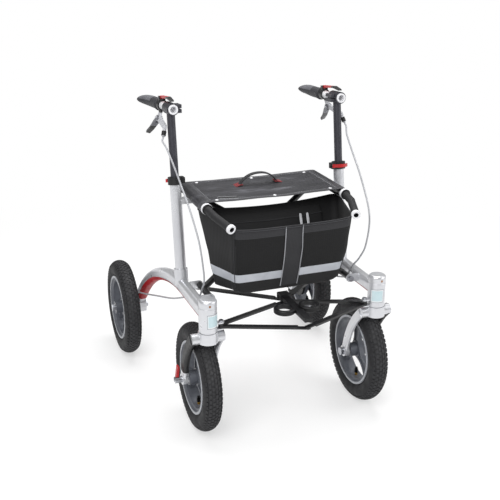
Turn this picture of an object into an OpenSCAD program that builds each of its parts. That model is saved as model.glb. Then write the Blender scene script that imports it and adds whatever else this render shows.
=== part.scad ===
// All terrain rollator: a sideways folding walking frame on four pneumatic wheels.
// Millimetres, +Z up, front towards -Y, origin on the floor under the middle of the walker.

/* [Wheels] */
// Outer radius of the tyres
wheel_r = 150; // [140:1:160]
// Width of the tyres
tyre_w = 55; // [48:1:58]
// Height of the tyre above the rim's edge
tyre_h = 42; // [38:1:46]
// Width of the rim between its edges
rim_w = 44; // [38:1:46]
// Number of spokes in a rim
spokes = 3; // [3:1:5]
// Radius of the axles
axle_r = 6; // [5:0.5:7]
// Distance of the rear wheels from the middle
rear_x = 324; // [318:1:340]
// Rear axle behind the origin
rear_y = 282; // [276:1:290]

/* [Front forks] */
// Distance of the steering axes from the middle
head_x = 243; // [243:1:250]
// Steering axes in front of the origin
head_y = -340; // [-346:1:-336]
// Front axle behind the steering axis
trail = 91; // [84:1:92]
// Radius of the head tubes
head_r = 24; // [23:0.5:26]
// Head tubes' lower end below the arch's middle
head_below = 45; // [42:1:45]
// Length of the head tubes with their caps
head_len = 90; // [84:1:100]
// Radius of the steerers
steerer_r = 12.7; // [11:0.1:14]
// Fork leg beside the wheel's middle plane
leg_x = 40; // [39:0.5:46]
// Thickness of a fork leg
leg_t = 13; // [10:0.5:14]
// Depth of a fork leg
leg_d = 28; // [22:1:32]

/* [Side frames] */
// Distance of the uprights and arches from the middle
side_x = 245; // [243:1:250]
// Height of the arch's straight front part above the axles
beam_rise = 222; // [220:1:230]
// Width of the arch profile
beam_w = 30; // [26:1:34]
// Height of the arch profile
beam_h = 36; // [32:1:40]
// Bend radius of the arch's middle line
arch_r = 495; // [485:1:505]
// Angle over which the arch bends down to the rear axle
arch_angle = 54; // [53:1:55]
// Angle by which the rear leg spreads outwards
arch_splay = 3.7; // [3.4:0.1:4]
// Foot of the upright behind the origin
upright_y = -116; // [-120:1:-112]
// Rearward lean of the uprights
upright_lean = 8; // [6:0.5:10]
// Radius of the uprights
upright_r = 15; // [14.5:0.5:17]
// Length of the uprights
upright_len = 296; // [280:1:310]

/* [Handles] */
// Radius of the height tubes and handle tubes
tube_r = 11.1; // [10:0.1:12]
// Place of the handle above the upright's foot, along the upright
handle_up = 481; // [470:1:490]
// Length of the height tube below the handle
height_len = 350; // [340:1:360]
// Rearward slope of the handle tubes
handle_drop = 4; // [0:0.5:8]
// Length of the handle tube behind its clamp's middle
handle_len = 232; // [220:1:240]
// Length of the grips
grip_len = 148; // [130:1:150]
// Radius of the grips at the front
grip_r = 17; // [15:0.5:19]
// Depth of the sockets at the tube ends
socket_depth = 22; // [15:1:26]
// Radius of the sockets at the handles' front ends
socket_r = 8.5; // [6:0.5:9]
// Outward tilt of the brake levers
lever_tilt = 18; // [10:1:25]

/* [Seat and cross tubes] */
// Distance of the seat rails from the middle
rail_x = 200; // [196:1:204]
// Seat rails below the top of the uprights
rail_below = 53; // [52:1:60]
// Radius of the seat rails
rail_r = 11; // [9:0.5:12]
// Length of the seat rails
rail_len = 208; // [196:1:220]
// Distance of the cross tubes' lower hinges from the middle
hinge_x = 205; // [203:1:207]
// Cross tubes' lower hinges above the arch's middle
hinge_rise = 6; // [4:1:10]
// Radius of the cross tubes
cross_r = 9; // [7:0.5:10]
// Thickness of the seat sling
sling_t = 6; // [4:0.5:8]

/* [Basket] */
// Half width of the basket at the top of its front
basket_front_x = 171; // [155:1:171]
// Half width of the basket at the top of its back
basket_rear_x = 207; // [190:1:210]
// Basket's front edge below the seat rails
basket_drop = 30; // [30:1:50]
// Bottom of the basket above the frame's beams
basket_clear = 14; // [12:1:50]
// Thickness of the basket's walls
basket_t = 4; // [3:0.5:6]
// Radius of the basket arms
arm_r = 10.5; // [10:0.5:12]
// Radius of the sockets at the basket arms' ends
arm_socket_r = 6; // [4:0.5:7]

/* [Lower links] */
// Width of the flat links
link_w = 15; // [12:1:16]
// Thickness of the flat links
link_t = 6; // [5:0.5:6]
// Front knee in front of the origin
front_knee_y = -424; // [-426:1:-416]
// Rear knee in front of the origin
rear_knee_y = -263; // [-268:1:-256]
// Radius of the link pins
pin_r = 3.5; // [3:0.1:4]

/* [Fits] */
// Radial clearance of running fits
run = 0.05; // [0.02:0.01:0.1]
// Gap between neighbours that move past each other
gap = 0.5; // [0.3:0.1:1]

/* [Hidden] */
$fn = 48;
left = -1;
right = 1;
white = [0.93, 0.93, 0.94];
black = [0.07, 0.07, 0.08];
dark = [0.2, 0.2, 0.22];
grey = [0.42, 0.43, 0.45];
steel = [0.75, 0.76, 0.78];
red = [0.75, 0.08, 0.09];
fabric = [0.13, 0.13, 0.14];

// Wheels
hub_w = 58;
hub_r = 20;
bearing_r = 14;
bearing_w = 9;
drum_r = 46;
drum_w = 13;
rim_r = wheel_r - tyre_h;
front_y = head_y + trail;
tyre_mid_r = wheel_r - tyre_w / 2;
tyre_wall = 4;
bead_w = rim_w - 10;
web_t = 13;
window_at = rim_r - 26;
window_r = rim_r - 50;
rib_w = 5;
pocket_depth = 4;
valve_angle = -90;

// Heights of the frame, from the axles upwards
beam_z = wheel_r + beam_rise;
head_z = beam_z - head_below;
hinge_z = beam_z + hinge_rise;
rail_z = beam_z + cos(upright_lean) * upright_len - rail_below;
basket_front_z = rail_z - basket_drop;
basket_floor_z = beam_z + basket_clear;

// Forks
lever_bore_r = 2.5;
dropout_t = leg_t + 1;
crown_z = head_z - 1;
crown_h = 30;
leg_sweep = 40;
leg_chord = [crown_z - 20 - wheel_r, trail - 5];
leg_chord_len = norm(leg_chord);
leg_r = leg_chord_len / 2 / sin(leg_sweep / 2);
leg_slope = atan2(leg_chord[0], leg_chord[1]);
leg_top_angle = 90 - leg_slope + leg_sweep / 2;
crown_bar_r = leg_d / 2 + 1;
guard_t = 2;
head_bearing_r = 20;
head_bearing_h = 10;

// Side frames: the arch is a straight beam, then a bend about this centre line
bend_y = -120;
bend_z = beam_z - arch_r;
block_x = side_x + sin(arch_splay) * (rear_y - bend_y);
block_w = beam_w;
brake_plate_t = 7;
brake_plate_r = 48;
brake_arm_angle = 128;
ferrule_at = 50;
ferrule_len = 20;
plate_x = block_x + block_w / 2 + gap;
collar_r = 19.5;
collar_h = 20;
collar_z = upright_len - collar_h + 2;
cam_angle = 213;
cam_at = 25.5;

// Cross tubes
hinge_front_y = -250;
hinge_back_y = -155;
hinge_r = 9;
hinge_bolt_r = 4;
lug_t = 5;
left_tube_y = -185;
right_tube_y = -209;
tube_run_y = 157;
rail_front_y = -204;
cross_y_gap = left_tube_y - right_tube_y;
cross_share = hinge_x / (hinge_x + rail_x);
cross_mid_z = hinge_z + (rail_z - hinge_z) * cross_share;
left_mid_y = left_tube_y + tube_run_y * cross_share;

// Lower links: three levels, one above the other, and their pivots on the sides
level = [beam_z - 41, beam_z - 34, beam_z - 27];
tab_t = (link_t - 0.4) / 2;
tab_len = 25;
head_pivot = [207, head_y];
back_pivot = [220, -84];
eye_r = 8;
lug_plate_t = 3.5;

// Handle frame
handle_y = upright_y + sin(upright_lean) * handle_up;
handle_z = beam_z + cos(upright_lean) * handle_up;
clamp_r = 16.5;
clamp_front = 24;
clamp_back = 26;
band_at = handle_len - 158;
band_w = 18;
band_r = 15;
lever_pin = [band_at + 6, 36];
lever_pin_r = 3;
lever_tip = [band_at + 74, 84];
park_pin = [band_at + 9, 21];
park_pin_r = 2.5;
grip_at = handle_len - grip_len + 14;

// Cable routes, mirrored in X for the left side, from the adjuster to the brake plate
cable_r = 2.5;
cable_rings = 44;
adjuster_top = [0, band_at - 68, -50];
adjuster_end = [0, band_at - 76, -76];
adjuster_dir = (adjuster_end - adjuster_top) / norm(adjuster_end - adjuster_top);
cable_seat = 3;

// A point of the handle's frame, and of the brake gear's frame, in the frame of the walker
function handle_point(p) = [
    side_x + p[0],
    handle_y + p[1] * cos(handle_drop) + p[2] * sin(handle_drop),
    handle_z - p[1] * sin(handle_drop) + p[2] * cos(handle_drop)
];
function lever_point(p) = handle_point([
    p[0] * cos(lever_tilt) - p[2] * sin(lever_tilt),
    p[1],
    p[0] * sin(lever_tilt) + p[2] * cos(lever_tilt)
]);
// Points whose heights are counted from the beams
function from_beam(points) = [for (p = points) [p[0], p[1], beam_z + p[2]]];
function plate_point(r) = [
    plate_x + brake_plate_t / 2,
    rear_y + r * cos(brake_arm_angle),
    wheel_r + r * sin(brake_arm_angle)
];

cable_start = [
    lever_point(adjuster_end - cable_seat * adjuster_dir),
    lever_point(adjuster_end + 4 * adjuster_dir),
    lever_point(adjuster_end + 14 * adjuster_dir)
];
cable_end = [
    plate_point(ferrule_at + ferrule_len + 14),
    plate_point(ferrule_at + ferrule_len + 4),
    plate_point(ferrule_at + ferrule_len - cable_seat)
];
left_way = [
    [266, -76, 376], [256, -104, 336], [243, -124, 286], [235, -174, 231],
    [233, -240, 168], [228, -256, 108], [223, -252, 58], [222, -232, 28], [222, -200, -10],
    [225, -150, -32], [228, -110, -45], [242, -10, -88], [261, 110, -125], [280, 192, -148]
];
right_way = [
    [268, -76, 373], [267, -112, 336], [266, -180, 268], [262, -244, 183], [252, -252, 102],
    [240, -240, 58], [226, -226, 30], [222, -200, -10],
    [225, -150, -32], [228, -110, -45], [242, -10, -88], [261, 110, -125], [280, 192, -148]
];
left_route = concat(cable_start, from_beam(left_way), cable_end);
right_route = concat(cable_start, from_beam(right_way), cable_end);

// Pieces are drawn on the right side and mirrored for the left one
module on_side(side) {
    if (side > 0) children();
    else mirror([1, 0, 0]) children();
}

// Flat profile with round ends or corners
module rounded(w, h, r) {
    square([w - 2 * r, h], center = true);
    square([w, h - 2 * r], center = true);
    for (x = [-1, 1], y = [-1, 1])
        translate([x * (w / 2 - r), y * (h / 2 - r)])
            circle(r);
}

// Round bar from one point to another
module rod(from, to, r) {
    v = to - from;
    translate(from)
        rotate([0, acos(v[2] / norm(v)), atan2(v[1], v[0])])
            cylinder(r = r, h = norm(v));
}

// Cylinder along X, centred
module along_x(r, w) {
    rotate([0, 90, 0]) cylinder(r = r, h = w, center = true);
}

// Cylinder along Y from its start
module along_y(r, h) {
    rotate([-90, 0, 0]) cylinder(r = r, h = h);
}

// Turns a revolve or an arc from the XY plane into the YZ plane
module upright_plane() {
    rotate([90, 0, 90]) children();
}

// Point on a smooth curve through a list of points, u runs from 0 to 1
function curve(route, u) =
    let (n = len(route) - 1, t = u * n, i = min(floor(t), n - 1), s = t - i,
         a = route[max(i - 1, 0)], b = route[i], c = route[i + 1], d = route[min(i + 2, n)])
    0.5 * (2 * b + s * (c - a) + s * s * (2 * a - 5 * b + 4 * c - d)
        + s * s * s * (3 * b - a - 3 * c + d));

// Round tube swept along a curve, one closed polyhedron
module swept(route, r, rings, sides) {
    at = [for (i = [0:rings]) curve(route, i / rings)];
    points = [for (i = [0:rings])
        let (v = at[min(i + 1, rings)] - at[max(i - 1, 0)], f = v / norm(v),
             s = cross(f, [1, 0, 0]), side = s / norm(s), top = cross(side, f))
        for (k = [0:sides - 1])
            at[i] + r * (cos(360 * k / sides) * side + sin(360 * k / sides) * top)];
    walls = [for (i = [0:rings - 1], k = [0:sides - 1], h = [0, 1])
        let (n = (k + 1) % sides, a = i * sides, b = a + sides)
        h == 0 ? [a + k, b + k, b + n] : [a + k, b + n, a + n]];
    ends = [[for (k = [0:sides - 1]) k], [for (k = [sides - 1:-1:0]) rings * sides + k]];
    polyhedron(points, concat(walls, ends));
}

// Wheels, drawn about the X axis at the origin with the outer side towards +X
module tyre() {
    color(black)
        upright_plane()
            rotate_extrude($fn = 96)
                difference() {
                    translate([tyre_mid_r, 0]) circle(tyre_w / 2, $fn = 64);
                    translate([tyre_mid_r, 0]) circle(tyre_w / 2 - tyre_wall, $fn = 64);
                    translate([0, -bead_w / 2]) square([rim_r - 3, bead_w]);
                    translate([0, -tyre_w]) square([rim_r - 6, 2 * tyre_w]);
                    for (z = [-18, -11, -4, 4, 11, 18])
                        translate([tyre_mid_r + sqrt(pow(tyre_w / 2, 2) - z * z) + 0.6, z])
                            circle(2, $fn = 16);
                }
}

// Cross-section of the rim's hoop, whose channel holds the tyre's beads
module hoop_section() {
    difference() {
        translate([rim_r - 22, -rim_w / 2]) square([16 - gap, rim_w]);
        translate([rim_r - 15, -bead_w / 2]) square([20, bead_w]);
        for (z = [-1, 1])
            translate([rim_r - 24, z * (rim_w / 2 + 2)]) circle(9, $fn = 32);
    }
}

// Flat outline of the spokes: a disc with lens-shaped windows
module spoke_outline(border) {
    difference() {
        circle(rim_r - 18 - border);
        for (i = [0:spokes - 1])
            rotate(valve_angle + 360 / spokes * i)
                intersection() {
                    translate([window_at, 0]) circle(window_r * 3 / spokes + border);
                    circle(rim_r - 21 + 2 * border);
                }
        if (border > 0) circle(hub_r + border);
    }
}

module rim(with_drum) {
    color(grey)
        upright_plane()
            difference() {
                union() {
                    rotate_extrude($fn = 96) hoop_section();
                    translate([0, 0, -web_t / 2]) linear_extrude(web_t) spoke_outline(0);
                    translate([0, 0, -hub_w / 2]) cylinder(r = hub_r, h = hub_w);
                    if (with_drum)
                        translate([0, 0, -hub_w / 2]) cylinder(r = drum_r, h = drum_w);
                }
                for (z = [-1, 1])
                    translate([0, 0, z * web_t / 2 - pocket_depth])
                        linear_extrude(2 * pocket_depth) spoke_outline(rib_w);
                translate([0, 0, -hub_w]) cylinder(r = bearing_r, h = 2 * hub_w);
                rotate(valve_angle) translate([rim_r - 30, 0, 0]) rotate([0, 90, 0])
                    cylinder(r = 4 + run, h = 30);
            }
}

// Valve with its cap, and the two wheel bearings
module wheel_fittings() {
    color([0.7, 0.55, 0.25])
        upright_plane() {
            rotate(valve_angle) translate([rim_r - 46, 0, 0]) rotate([0, 90, 0]) {
                cylinder(r = 4, h = 34);
                translate([0, 0, 6]) cylinder(r = 5.5, h = 10);
            }
            for (z = [-hub_w / 2 + 1, hub_w / 2 - 1 - bearing_w])
                translate([0, 0, z])
                    difference() {
                        cylinder(r = bearing_r - run, h = bearing_w);
                        translate([0, 0, -1]) cylinder(r = axle_r + run, h = bearing_w + 2);
                    }
        }
}

module at_front_wheel() {
    translate([head_x, front_y, wheel_r]) children();
}

module at_rear_wheel() {
    translate([rear_x, rear_y, wheel_r]) children();
}

// Front fork: steerer, crown, two bent legs and dropouts
module leg_arc(w, d, from, sweep) {
    translate([0, front_y, wheel_r])
        upright_plane()
            translate([-leg_r * cos(leg_top_angle - leg_sweep), -leg_r * sin(leg_top_angle - leg_sweep), 0])
                rotate(leg_top_angle - leg_sweep + from)
                    rotate_extrude(angle = sweep, $fn = 128)
                        translate([leg_r, 0]) rounded(d, w, w / 2 - 0.01);
}

// Round bar between the tops of the legs
module crown_bar(extra) {
    translate([0, head_y + 5, crown_z - 20])
        along_x(crown_bar_r + extra, 2 * leg_x + leg_t - 4 + 2 * extra);
}

module fork() {
    color(white)
        difference() {
            union() {
                translate([head_x, head_y, crown_z - crown_h]) cylinder(r = head_r + 2, h = crown_h);
                translate([head_x, head_y, crown_z - 1]) cylinder(r = steerer_r, h = head_len - 20);
                translate([head_x, 0, 0]) crown_bar(0);
                for (s = [-1, 1])
                    translate([head_x + s * leg_x, 0, 0]) {
                        leg_arc(leg_t, leg_d, 0, leg_sweep);
                        translate([0, front_y, wheel_r]) along_x(16, dropout_t);
                    }
            }
            translate([head_x, front_y, wheel_r]) along_x(axle_r + run, 4 * leg_x);
        }
}

// Black sleeve round the outer leg, closed over its top
module fork_guard() {
    wall = 2 * guard_t + 2 * run;
    color(black)
        translate([head_x, 0, 0])
            difference() {
                translate([leg_x, 0, 0]) leg_arc(leg_t + wall, leg_d + wall, 7, leg_sweep - 6.3);
                translate([leg_x, 0, 0]) leg_arc(leg_t + 2 * run, leg_d + 2 * run, 5, leg_sweep - 4.95);
                crown_bar(run);
            }
}

// Skewer axle with its spacers, the round nut inside and the cam block outside
module front_axle() {
    far = leg_x + dropout_t / 2;
    color(steel)
        translate([head_x, front_y, wheel_r]) {
            difference() {
                union() {
                    along_x(axle_r, 2 * far + 10);
                    translate([-far - 5 - gap / 2, 0, 0]) along_x(11, 10);
                    translate([far + 10 + gap / 2, 0, 0]) along_x(9, 20);
                }
                translate([far + 6, -5, -20]) cube([30, 10, 40]);
            }
            translate([far + 13, 0, 0])
                rotate([90, 0, 0])
                    cylinder(r = lever_bore_r, h = 16, center = true);
        }
}

// Red lever that turns on the cross pin of the cam block
module axle_lever() {
    far = leg_x + dropout_t / 2;
    color(red)
        translate([head_x + far + 13, front_y, wheel_r])
            difference() {
                union() {
                    rotate([90, 0, 0]) cylinder(r = 6, h = 8, center = true);
                    hull() {
                        translate([2, 0, 0])
                            rotate([90, 0, 0])
                                cylinder(r = 4, h = 8, center = true, $fn = 32);
                        translate([-3, 0, 40])
                            rotate([90, 0, 0])
                                cylinder(r = 3, h = 13, center = true, $fn = 32);
                    }
                }
                rotate([90, 0, 0]) cylinder(r = lever_bore_r + run, h = 30, center = true);
            }
}

// Side frame: head tube, arch, upright, rear block, hinge lugs and seat saddle
module at_upright() {
    translate([side_x, upright_y, beam_z]) rotate([-upright_lean, 0, 0]) children();
}

module arch_bend() {
    translate([side_x, bend_y, bend_z])
        rotate([0, 0, -arch_splay])
            upright_plane()
                rotate(90 - arch_angle)
                    rotate_extrude(angle = arch_angle, $fn = 180)
                        translate([arch_r, 0]) rounded(beam_h, beam_w, 12);
}

module hinge_lug(y) {
    translate([0, y, 0])
        rotate([-90, 0, 0])
            linear_extrude(lug_t) {
                translate([hinge_x, -hinge_z]) circle(11);
                translate([hinge_x, -hinge_z - 11]) square([side_x - hinge_x - beam_w / 2 + 3, 22]);
            }
}

module link_lug(pivot, low, high, reach) {
    for (z = [low - gap - lug_plate_t, high + gap])
        translate([0, 0, z])
            linear_extrude(lug_plate_t) {
                translate(pivot) circle(eye_r);
                translate([pivot[0], pivot[1] - eye_r]) square([reach, 2 * eye_r]);
            }
}

module saddle() {
    saddle_y = upright_y + tan(upright_lean) * (rail_z - beam_z);
    translate([0, saddle_y - 12, rail_z])
        rotate([-90, 0, 0])
            linear_extrude(24)
                difference() {
                    union() {
                        translate([rail_x, 0]) circle(rail_r + 6);
                        translate([rail_x, 4]) square([side_x - rail_x - 4, 14]);
                    }
                    translate([rail_x, 0]) circle(rail_r + gap);
                    translate([rail_x - 40, -40]) square([80, 42]);
                }
}

module side_frame() {
    color(white)
        difference() {
            union() {
                translate([head_x, head_y, head_z]) cylinder(r = head_r, h = head_len - 8);
                translate([head_x, head_y, head_z + head_len - 8])
                    rotate_extrude() {
                        square([head_r - 8, 8]);
                        intersection() {
                            translate([head_r - 8, 0]) circle(8);
                            square([head_r, 8]);
                        }
                    }
                translate([side_x, bend_y, beam_z])
                    rotate([90, 0, 0])
                        linear_extrude(bend_y - head_y) rounded(beam_w, beam_h, 12);
                arch_bend();
                at_upright() cylinder(r = upright_r, h = upright_len);
                at_upright() cylinder(r = upright_r + 4, h = 44);
                translate([block_x, rear_y - 2, wheel_r + 4])
                    rotate([90, 0, 90])
                        linear_extrude(block_w, center = true) rounded(50, 52, 20);
                hinge_lug(hinge_front_y - gap - lug_t);
                hinge_lug(hinge_back_y + gap);
                link_lug(head_pivot, level[0], level[1] + link_t, head_x - head_pivot[0]);
                link_lug(back_pivot, level[2], level[2] + link_t, side_x - back_pivot[0]);
                translate([back_pivot[0] + eye_r + 3, back_pivot[1] - eye_r, level[2] - gap - lug_plate_t])
                    cube([12, 2 * eye_r, beam_z - level[2]]);
                saddle();
            }
            translate([head_x, head_y, head_z - 1]) cylinder(r = head_bearing_r + run, h = head_len - 12);
            translate([head_x, head_y, head_z + head_len - 22])
                rotate_extrude()
                    translate([head_r, 0]) circle(0.9, $fn = 16);
            at_upright() translate([0, 0, 16]) cylinder(r = tube_r + run, h = upright_len);
            translate([rear_x, rear_y, wheel_r]) along_x(axle_r + run, 200);
            for (y = [hinge_front_y - 20, hinge_back_y - 10])
                translate([hinge_x, y, hinge_z]) along_y(hinge_bolt_r + run, 40);
            for (pivot = [head_pivot, back_pivot])
                translate([pivot[0], pivot[1], level[0] - 31]) cylinder(r = pin_r + run, h = 80);
        }
}

// Head bearings, hinge bolt and link pins of one side
module frame_fittings() {
    head_pin_low = level[0] - gap - lug_plate_t - 0.5;
    color(steel) {
        for (z = [head_z + 1, head_z + head_len - 34])
            translate([head_x, head_y, z])
                difference() {
                    cylinder(r = head_bearing_r, h = head_bearing_h);
                    translate([0, 0, -1]) cylinder(r = steerer_r + run, h = head_bearing_h + 2);
                }
        translate([hinge_x, hinge_front_y - 14, hinge_z])
            along_y(hinge_bolt_r, hinge_back_y - hinge_front_y + 28);
        translate([hinge_x, hinge_front_y - 14, hinge_z]) along_y(8, 6);
        translate([hinge_x, hinge_back_y + 8, hinge_z]) along_y(8, 6);
        translate([head_pivot[0], head_pivot[1], head_pin_low + 0.7]) cylinder(r = pin_r, h = 24);
        translate([head_pivot[0], head_pivot[1], level[1] + link_t + 2 * gap + lug_plate_t])
            cylinder(r = 6, h = 4);
        translate([back_pivot[0], back_pivot[1], level[2] - gap - lug_plate_t - 3])
            cylinder(r = pin_r, h = 17);
        translate([back_pivot[0], back_pivot[1], level[2] - gap - lug_plate_t - 4])
            cylinder(r = 6, h = 3.8);
    }
}

module rear_axle() {
    inner = block_x - block_w / 2;
    outer = rear_x + hub_w / 2;
    color(steel)
        translate([0, rear_y, wheel_r])
            rotate([0, 90, 0]) {
                translate([0, 0, inner - 2]) cylinder(r = axle_r, h = outer + 12 - inner);
                translate([0, 0, inner - 9]) cylinder(r = 11, h = 9 - gap / 2, $fn = 6);
                translate([0, 0, outer + gap]) cylinder(r = 11, h = 9, $fn = 6);
            }
}

// Backing plate of the rear drum brake, with the arm that takes the cable
module brake_plate() {
    ferrule_end = ferrule_at + ferrule_len;
    color(dark)
        difference() {
            union() {
                translate([plate_x, rear_y, wheel_r])
                    rotate([90, 0, 90])
                        linear_extrude(brake_plate_t) {
                            circle(brake_plate_r);
                            rotate(brake_arm_angle) translate([brake_plate_r - 4, -9]) square([14, 18]);
                        }
                rod(plate_point(ferrule_at), plate_point(ferrule_end), 4.6);
            }
            rod(plate_point(ferrule_end - cable_seat - 2), plate_point(ferrule_end + 2), cable_r + 0.8);
            translate([rear_x, rear_y, wheel_r]) along_x(axle_r + run, 200);
        }
}

// Turns a clamp about, so that its lever runs the other way round
module turned_about(about) {
    if (about) mirror([0, 1, 0]) children();
    else children();
}

// Height clamp: a split collar with ears towards the seat
module collar(about) {
    color(black)
        at_upright()
            turned_about(about) difference() {
                union() {
                    translate([0, 0, collar_z]) cylinder(r = collar_r, h = collar_h);
                    translate([-26, -7.5, collar_z + 2]) cube([20, 16.5, collar_h - 4]);
                    translate([cam_at * cos(cam_angle), cam_at * sin(cam_angle), collar_z + 1])
                        cylinder(r = 2.5, h = 18);
                    translate([-26, -18, collar_z + 1]) cube([12, 17, 3.5]);
                    translate([-26, -18, collar_z + 15.5]) cube([12, 17, 3.5]);
                }
                cylinder(r = upright_r + run, h = upright_len + run);
                translate([0, 0, upright_len - 2]) cylinder(r = tube_r + run, h = 20);
                translate([-40, -1.5, collar_z - 1]) cube([30, 3, collar_h + 2]);
            }
}

// Cam lever that wraps round the collar and swings open about its cam pin
module collar_lever(about) {
    cam = [cam_at * cos(cam_angle), cam_at * sin(cam_angle), collar_z + 4.8];
    color(red)
        at_upright()
            turned_about(about) difference() {
                union() {
                    translate(cam) cylinder(r = 4.2, h = 10.4);
                    translate([0, 0, collar_z + 5.4])
                        rotate(cam_angle + 2)
                            rotate_extrude(angle = 114)
                                translate([collar_r + 2, 0]) square([5, 9]);
                }
                translate(cam - [0, 0, 1]) cylinder(r = 2.5 + run, h = 13);
            }
}

// Handles
module at_handle() {
    translate([side_x, handle_y, handle_z]) rotate([-handle_drop, 0, 0]) children();
}

// Frame of the brake gear: X outwards across the tilt, Z towards the handle tube
module at_lever() {
    at_handle() rotate([0, -lever_tilt, 0]) children();
}

// Height tube with its row of setting notches and the split clamp on its top
module height_tube() {
    color(dark)
        difference() {
            union() {
                at_upright() translate([0, 0, handle_up - height_len]) cylinder(r = tube_r, h = height_len);
                at_handle() translate([0, -clamp_front, 0]) along_y(clamp_r, clamp_front + clamp_back);
                at_handle()
                    translate([-26, -clamp_front + 6, -11])
                        cube([20, clamp_front + clamp_back - 12, 22]);
            }
            at_handle() translate([0, -60, 0]) along_y(tube_r + run, 120);
            at_handle() translate([-40, -60, -1.5]) cube([40, 120, 3]);
            at_handle() translate([-20, 1, -20]) cylinder(r = 2.6, h = 40);
            at_upright()
                for (i = [0:6])
                    translate([-tube_r, 0, handle_up - 70 - 14 * i]) along_x(2, 5);
            at_upright()
                translate([0, 0, handle_up - 62])
                    rotate_extrude()
                        translate([tube_r + 0.6, 0]) circle(1.2, $fn = 16);
        }
}

// Handle tube with the open ring at its front end
module handle_tube() {
    color(steel)
        at_handle()
            difference() {
                union() {
                    translate([0, -clamp_front - 2, 0]) along_y(tube_r, handle_len + clamp_front + 2);
                    translate([0, -clamp_front - 5, 0]) along_y(13, 5 - gap);
                }
                translate([0, -clamp_front - 6, 0]) along_y(socket_r, socket_depth + 1);
            }
}

// Grip: round in front, drawn out into a flat palm rest behind
module grip() {
    color(dark)
        at_handle()
            difference() {
                union() {
                    translate([0, grip_at, 0]) along_y(grip_r, 8);
                    hull() {
                        translate([0, grip_at + 6, 0]) along_y(grip_r - 1, 4, $fn = 32);
                        translate([1, grip_at + grip_len * 0.45, 0]) along_y(grip_r - 1.5, 4, $fn = 32);
                    }
                    hull() {
                        translate([1, grip_at + grip_len * 0.45, 0]) along_y(grip_r - 1.5, 4, $fn = 32);
                        translate([9, grip_at + grip_len - 18, 2])
                            scale([1, 0.62, 0.5])
                                sphere(25, $fn = 32);
                        translate([0, grip_at + grip_len - 22, 0]) along_y(14.5, 12, $fn = 32);
                    }
                }
                translate([0, grip_at - 1, 0]) along_y(tube_r + run, handle_len - grip_at + 1 + gap);
            }
}

// Brake bracket: band on the handle tube, housing, lever pin, parking ears and cable adjuster
module brake_bracket() {
    color([0.8, 0.8, 0.82])
        difference() {
            union() {
                at_lever() {
                    translate([0, band_at, 0]) along_y(band_r, band_w);
                    translate([0, lever_pin[0], -lever_pin[1] / 2 - 2])
                        cube([6, 18, lever_pin[1] - 4], center = true);
                    hull() {
                        translate([0, lever_pin[0], -lever_pin[1]]) along_x(8, 6, $fn = 32);
                        translate([0, band_at - 70, -52]) along_x(7, 6, $fn = 32);
                    }
                    translate([0, lever_pin[0], -lever_pin[1]]) along_x(lever_pin_r, 22);
                    rod(adjuster_top, adjuster_end, 5);
                }
                at_handle()
                    for (s = [-1, 1])
                        translate([s * 7.5, park_pin[0], park_pin[1] / 2 + 2])
                            cube([3, 12, park_pin[1] + 4], center = true);
                at_handle() translate([0, park_pin[0], park_pin[1]]) along_x(park_pin_r, 18);
            }
            at_handle() along_y(tube_r + run, 200);
            at_lever()
                rod(adjuster_end - (cable_seat + 2) * adjuster_dir,
                    adjuster_end + 2 * adjuster_dir, cable_r + 0.8);
        }
}

// Brake lever: a fork round the housing and a curved blade
module brake_lever() {
    color(grey)
        at_lever()
            translate([0, lever_pin[0], -lever_pin[1]])
                difference() {
                    union() {
                        for (s = [-1, 1])
                            translate([s * (3 + gap + 2), 0, 0]) {
                                along_x(7, 4);
                                hull() {
                                    along_x(5, 4, $fn = 32);
                                    translate([0, 20, -14]) along_x(4, 4, $fn = 32);
                                }
                            }
                        hull() {
                            translate([0, 20, -14]) along_x(4, 15, $fn = 32);
                            translate([0, 44, -34]) along_x(3.5, 13, $fn = 32);
                        }
                        hull() {
                            translate([0, 44, -34]) along_x(3.5, 13, $fn = 32);
                            translate([0, lever_tip[0] - lever_pin[0], lever_pin[1] - lever_tip[1]])
                                along_x(4, 11, $fn = 32);
                        }
                    }
                    along_x(lever_pin_r + run, 40);
                }
}

// Red parking lever, lying forward over the handle clamp with its tip bent down
module parking_lever() {
    color(red)
        at_handle()
            translate([0, park_pin[0], park_pin[1]])
                difference() {
                    union() {
                        along_x(5, 11);
                        hull() {
                            translate([0, -4, 2]) along_x(3, 11, $fn = 32);
                            translate([0, -70, 6]) along_x(2.5, 13, $fn = 32);
                        }
                        hull() {
                            translate([0, -70, 6]) along_x(2.5, 13, $fn = 32);
                            translate([0, -102, 1]) along_x(2, 10, $fn = 32);
                        }
                    }
                    along_x(park_pin_r + run, 30);
                }
}

// Brake cable along its route
module cable(route) {
    color([0.86, 0.86, 0.87]) swept(route, cable_r, cable_rings, 8);
}

// Cross tube: hinge barrel low on its own side, seat rail on the other side
module cross_tube(foot_y, pin_from) {
    color(black)
        difference() {
            union() {
                translate([-hinge_x, hinge_front_y, hinge_z])
                    along_y(hinge_r, hinge_back_y - hinge_front_y);
                rod([-hinge_x, foot_y, hinge_z], [rail_x, foot_y + tube_run_y, rail_z], cross_r);
                translate([rail_x, rail_front_y, rail_z]) along_y(rail_r, rail_len);
                if (pin_from) {
                    translate([0, left_mid_y - cross_y_gap - 6, cross_mid_z]) along_y(4, cross_y_gap + 22);
                    translate([0, left_mid_y + 13, cross_mid_z]) along_y(7, 4);
                }
            }
            translate([-hinge_x, hinge_front_y - 1, hinge_z]) along_y(hinge_bolt_r + run, 200);
            if (!pin_from)
                translate([0, foot_y + tube_run_y * cross_share - 30, cross_mid_z]) along_y(4 + run, 60);
        }
}

// Basket arm: collar on the rail's front end, bent rubber covered tube, open end ring
arm_points = [
    [rail_x, rail_front_y - 8, rail_z],
    [rail_x - 4, rail_front_y - 54, rail_z - 6],
    [rail_x - 25, rail_front_y - 124, rail_z - 21]
];

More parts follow.
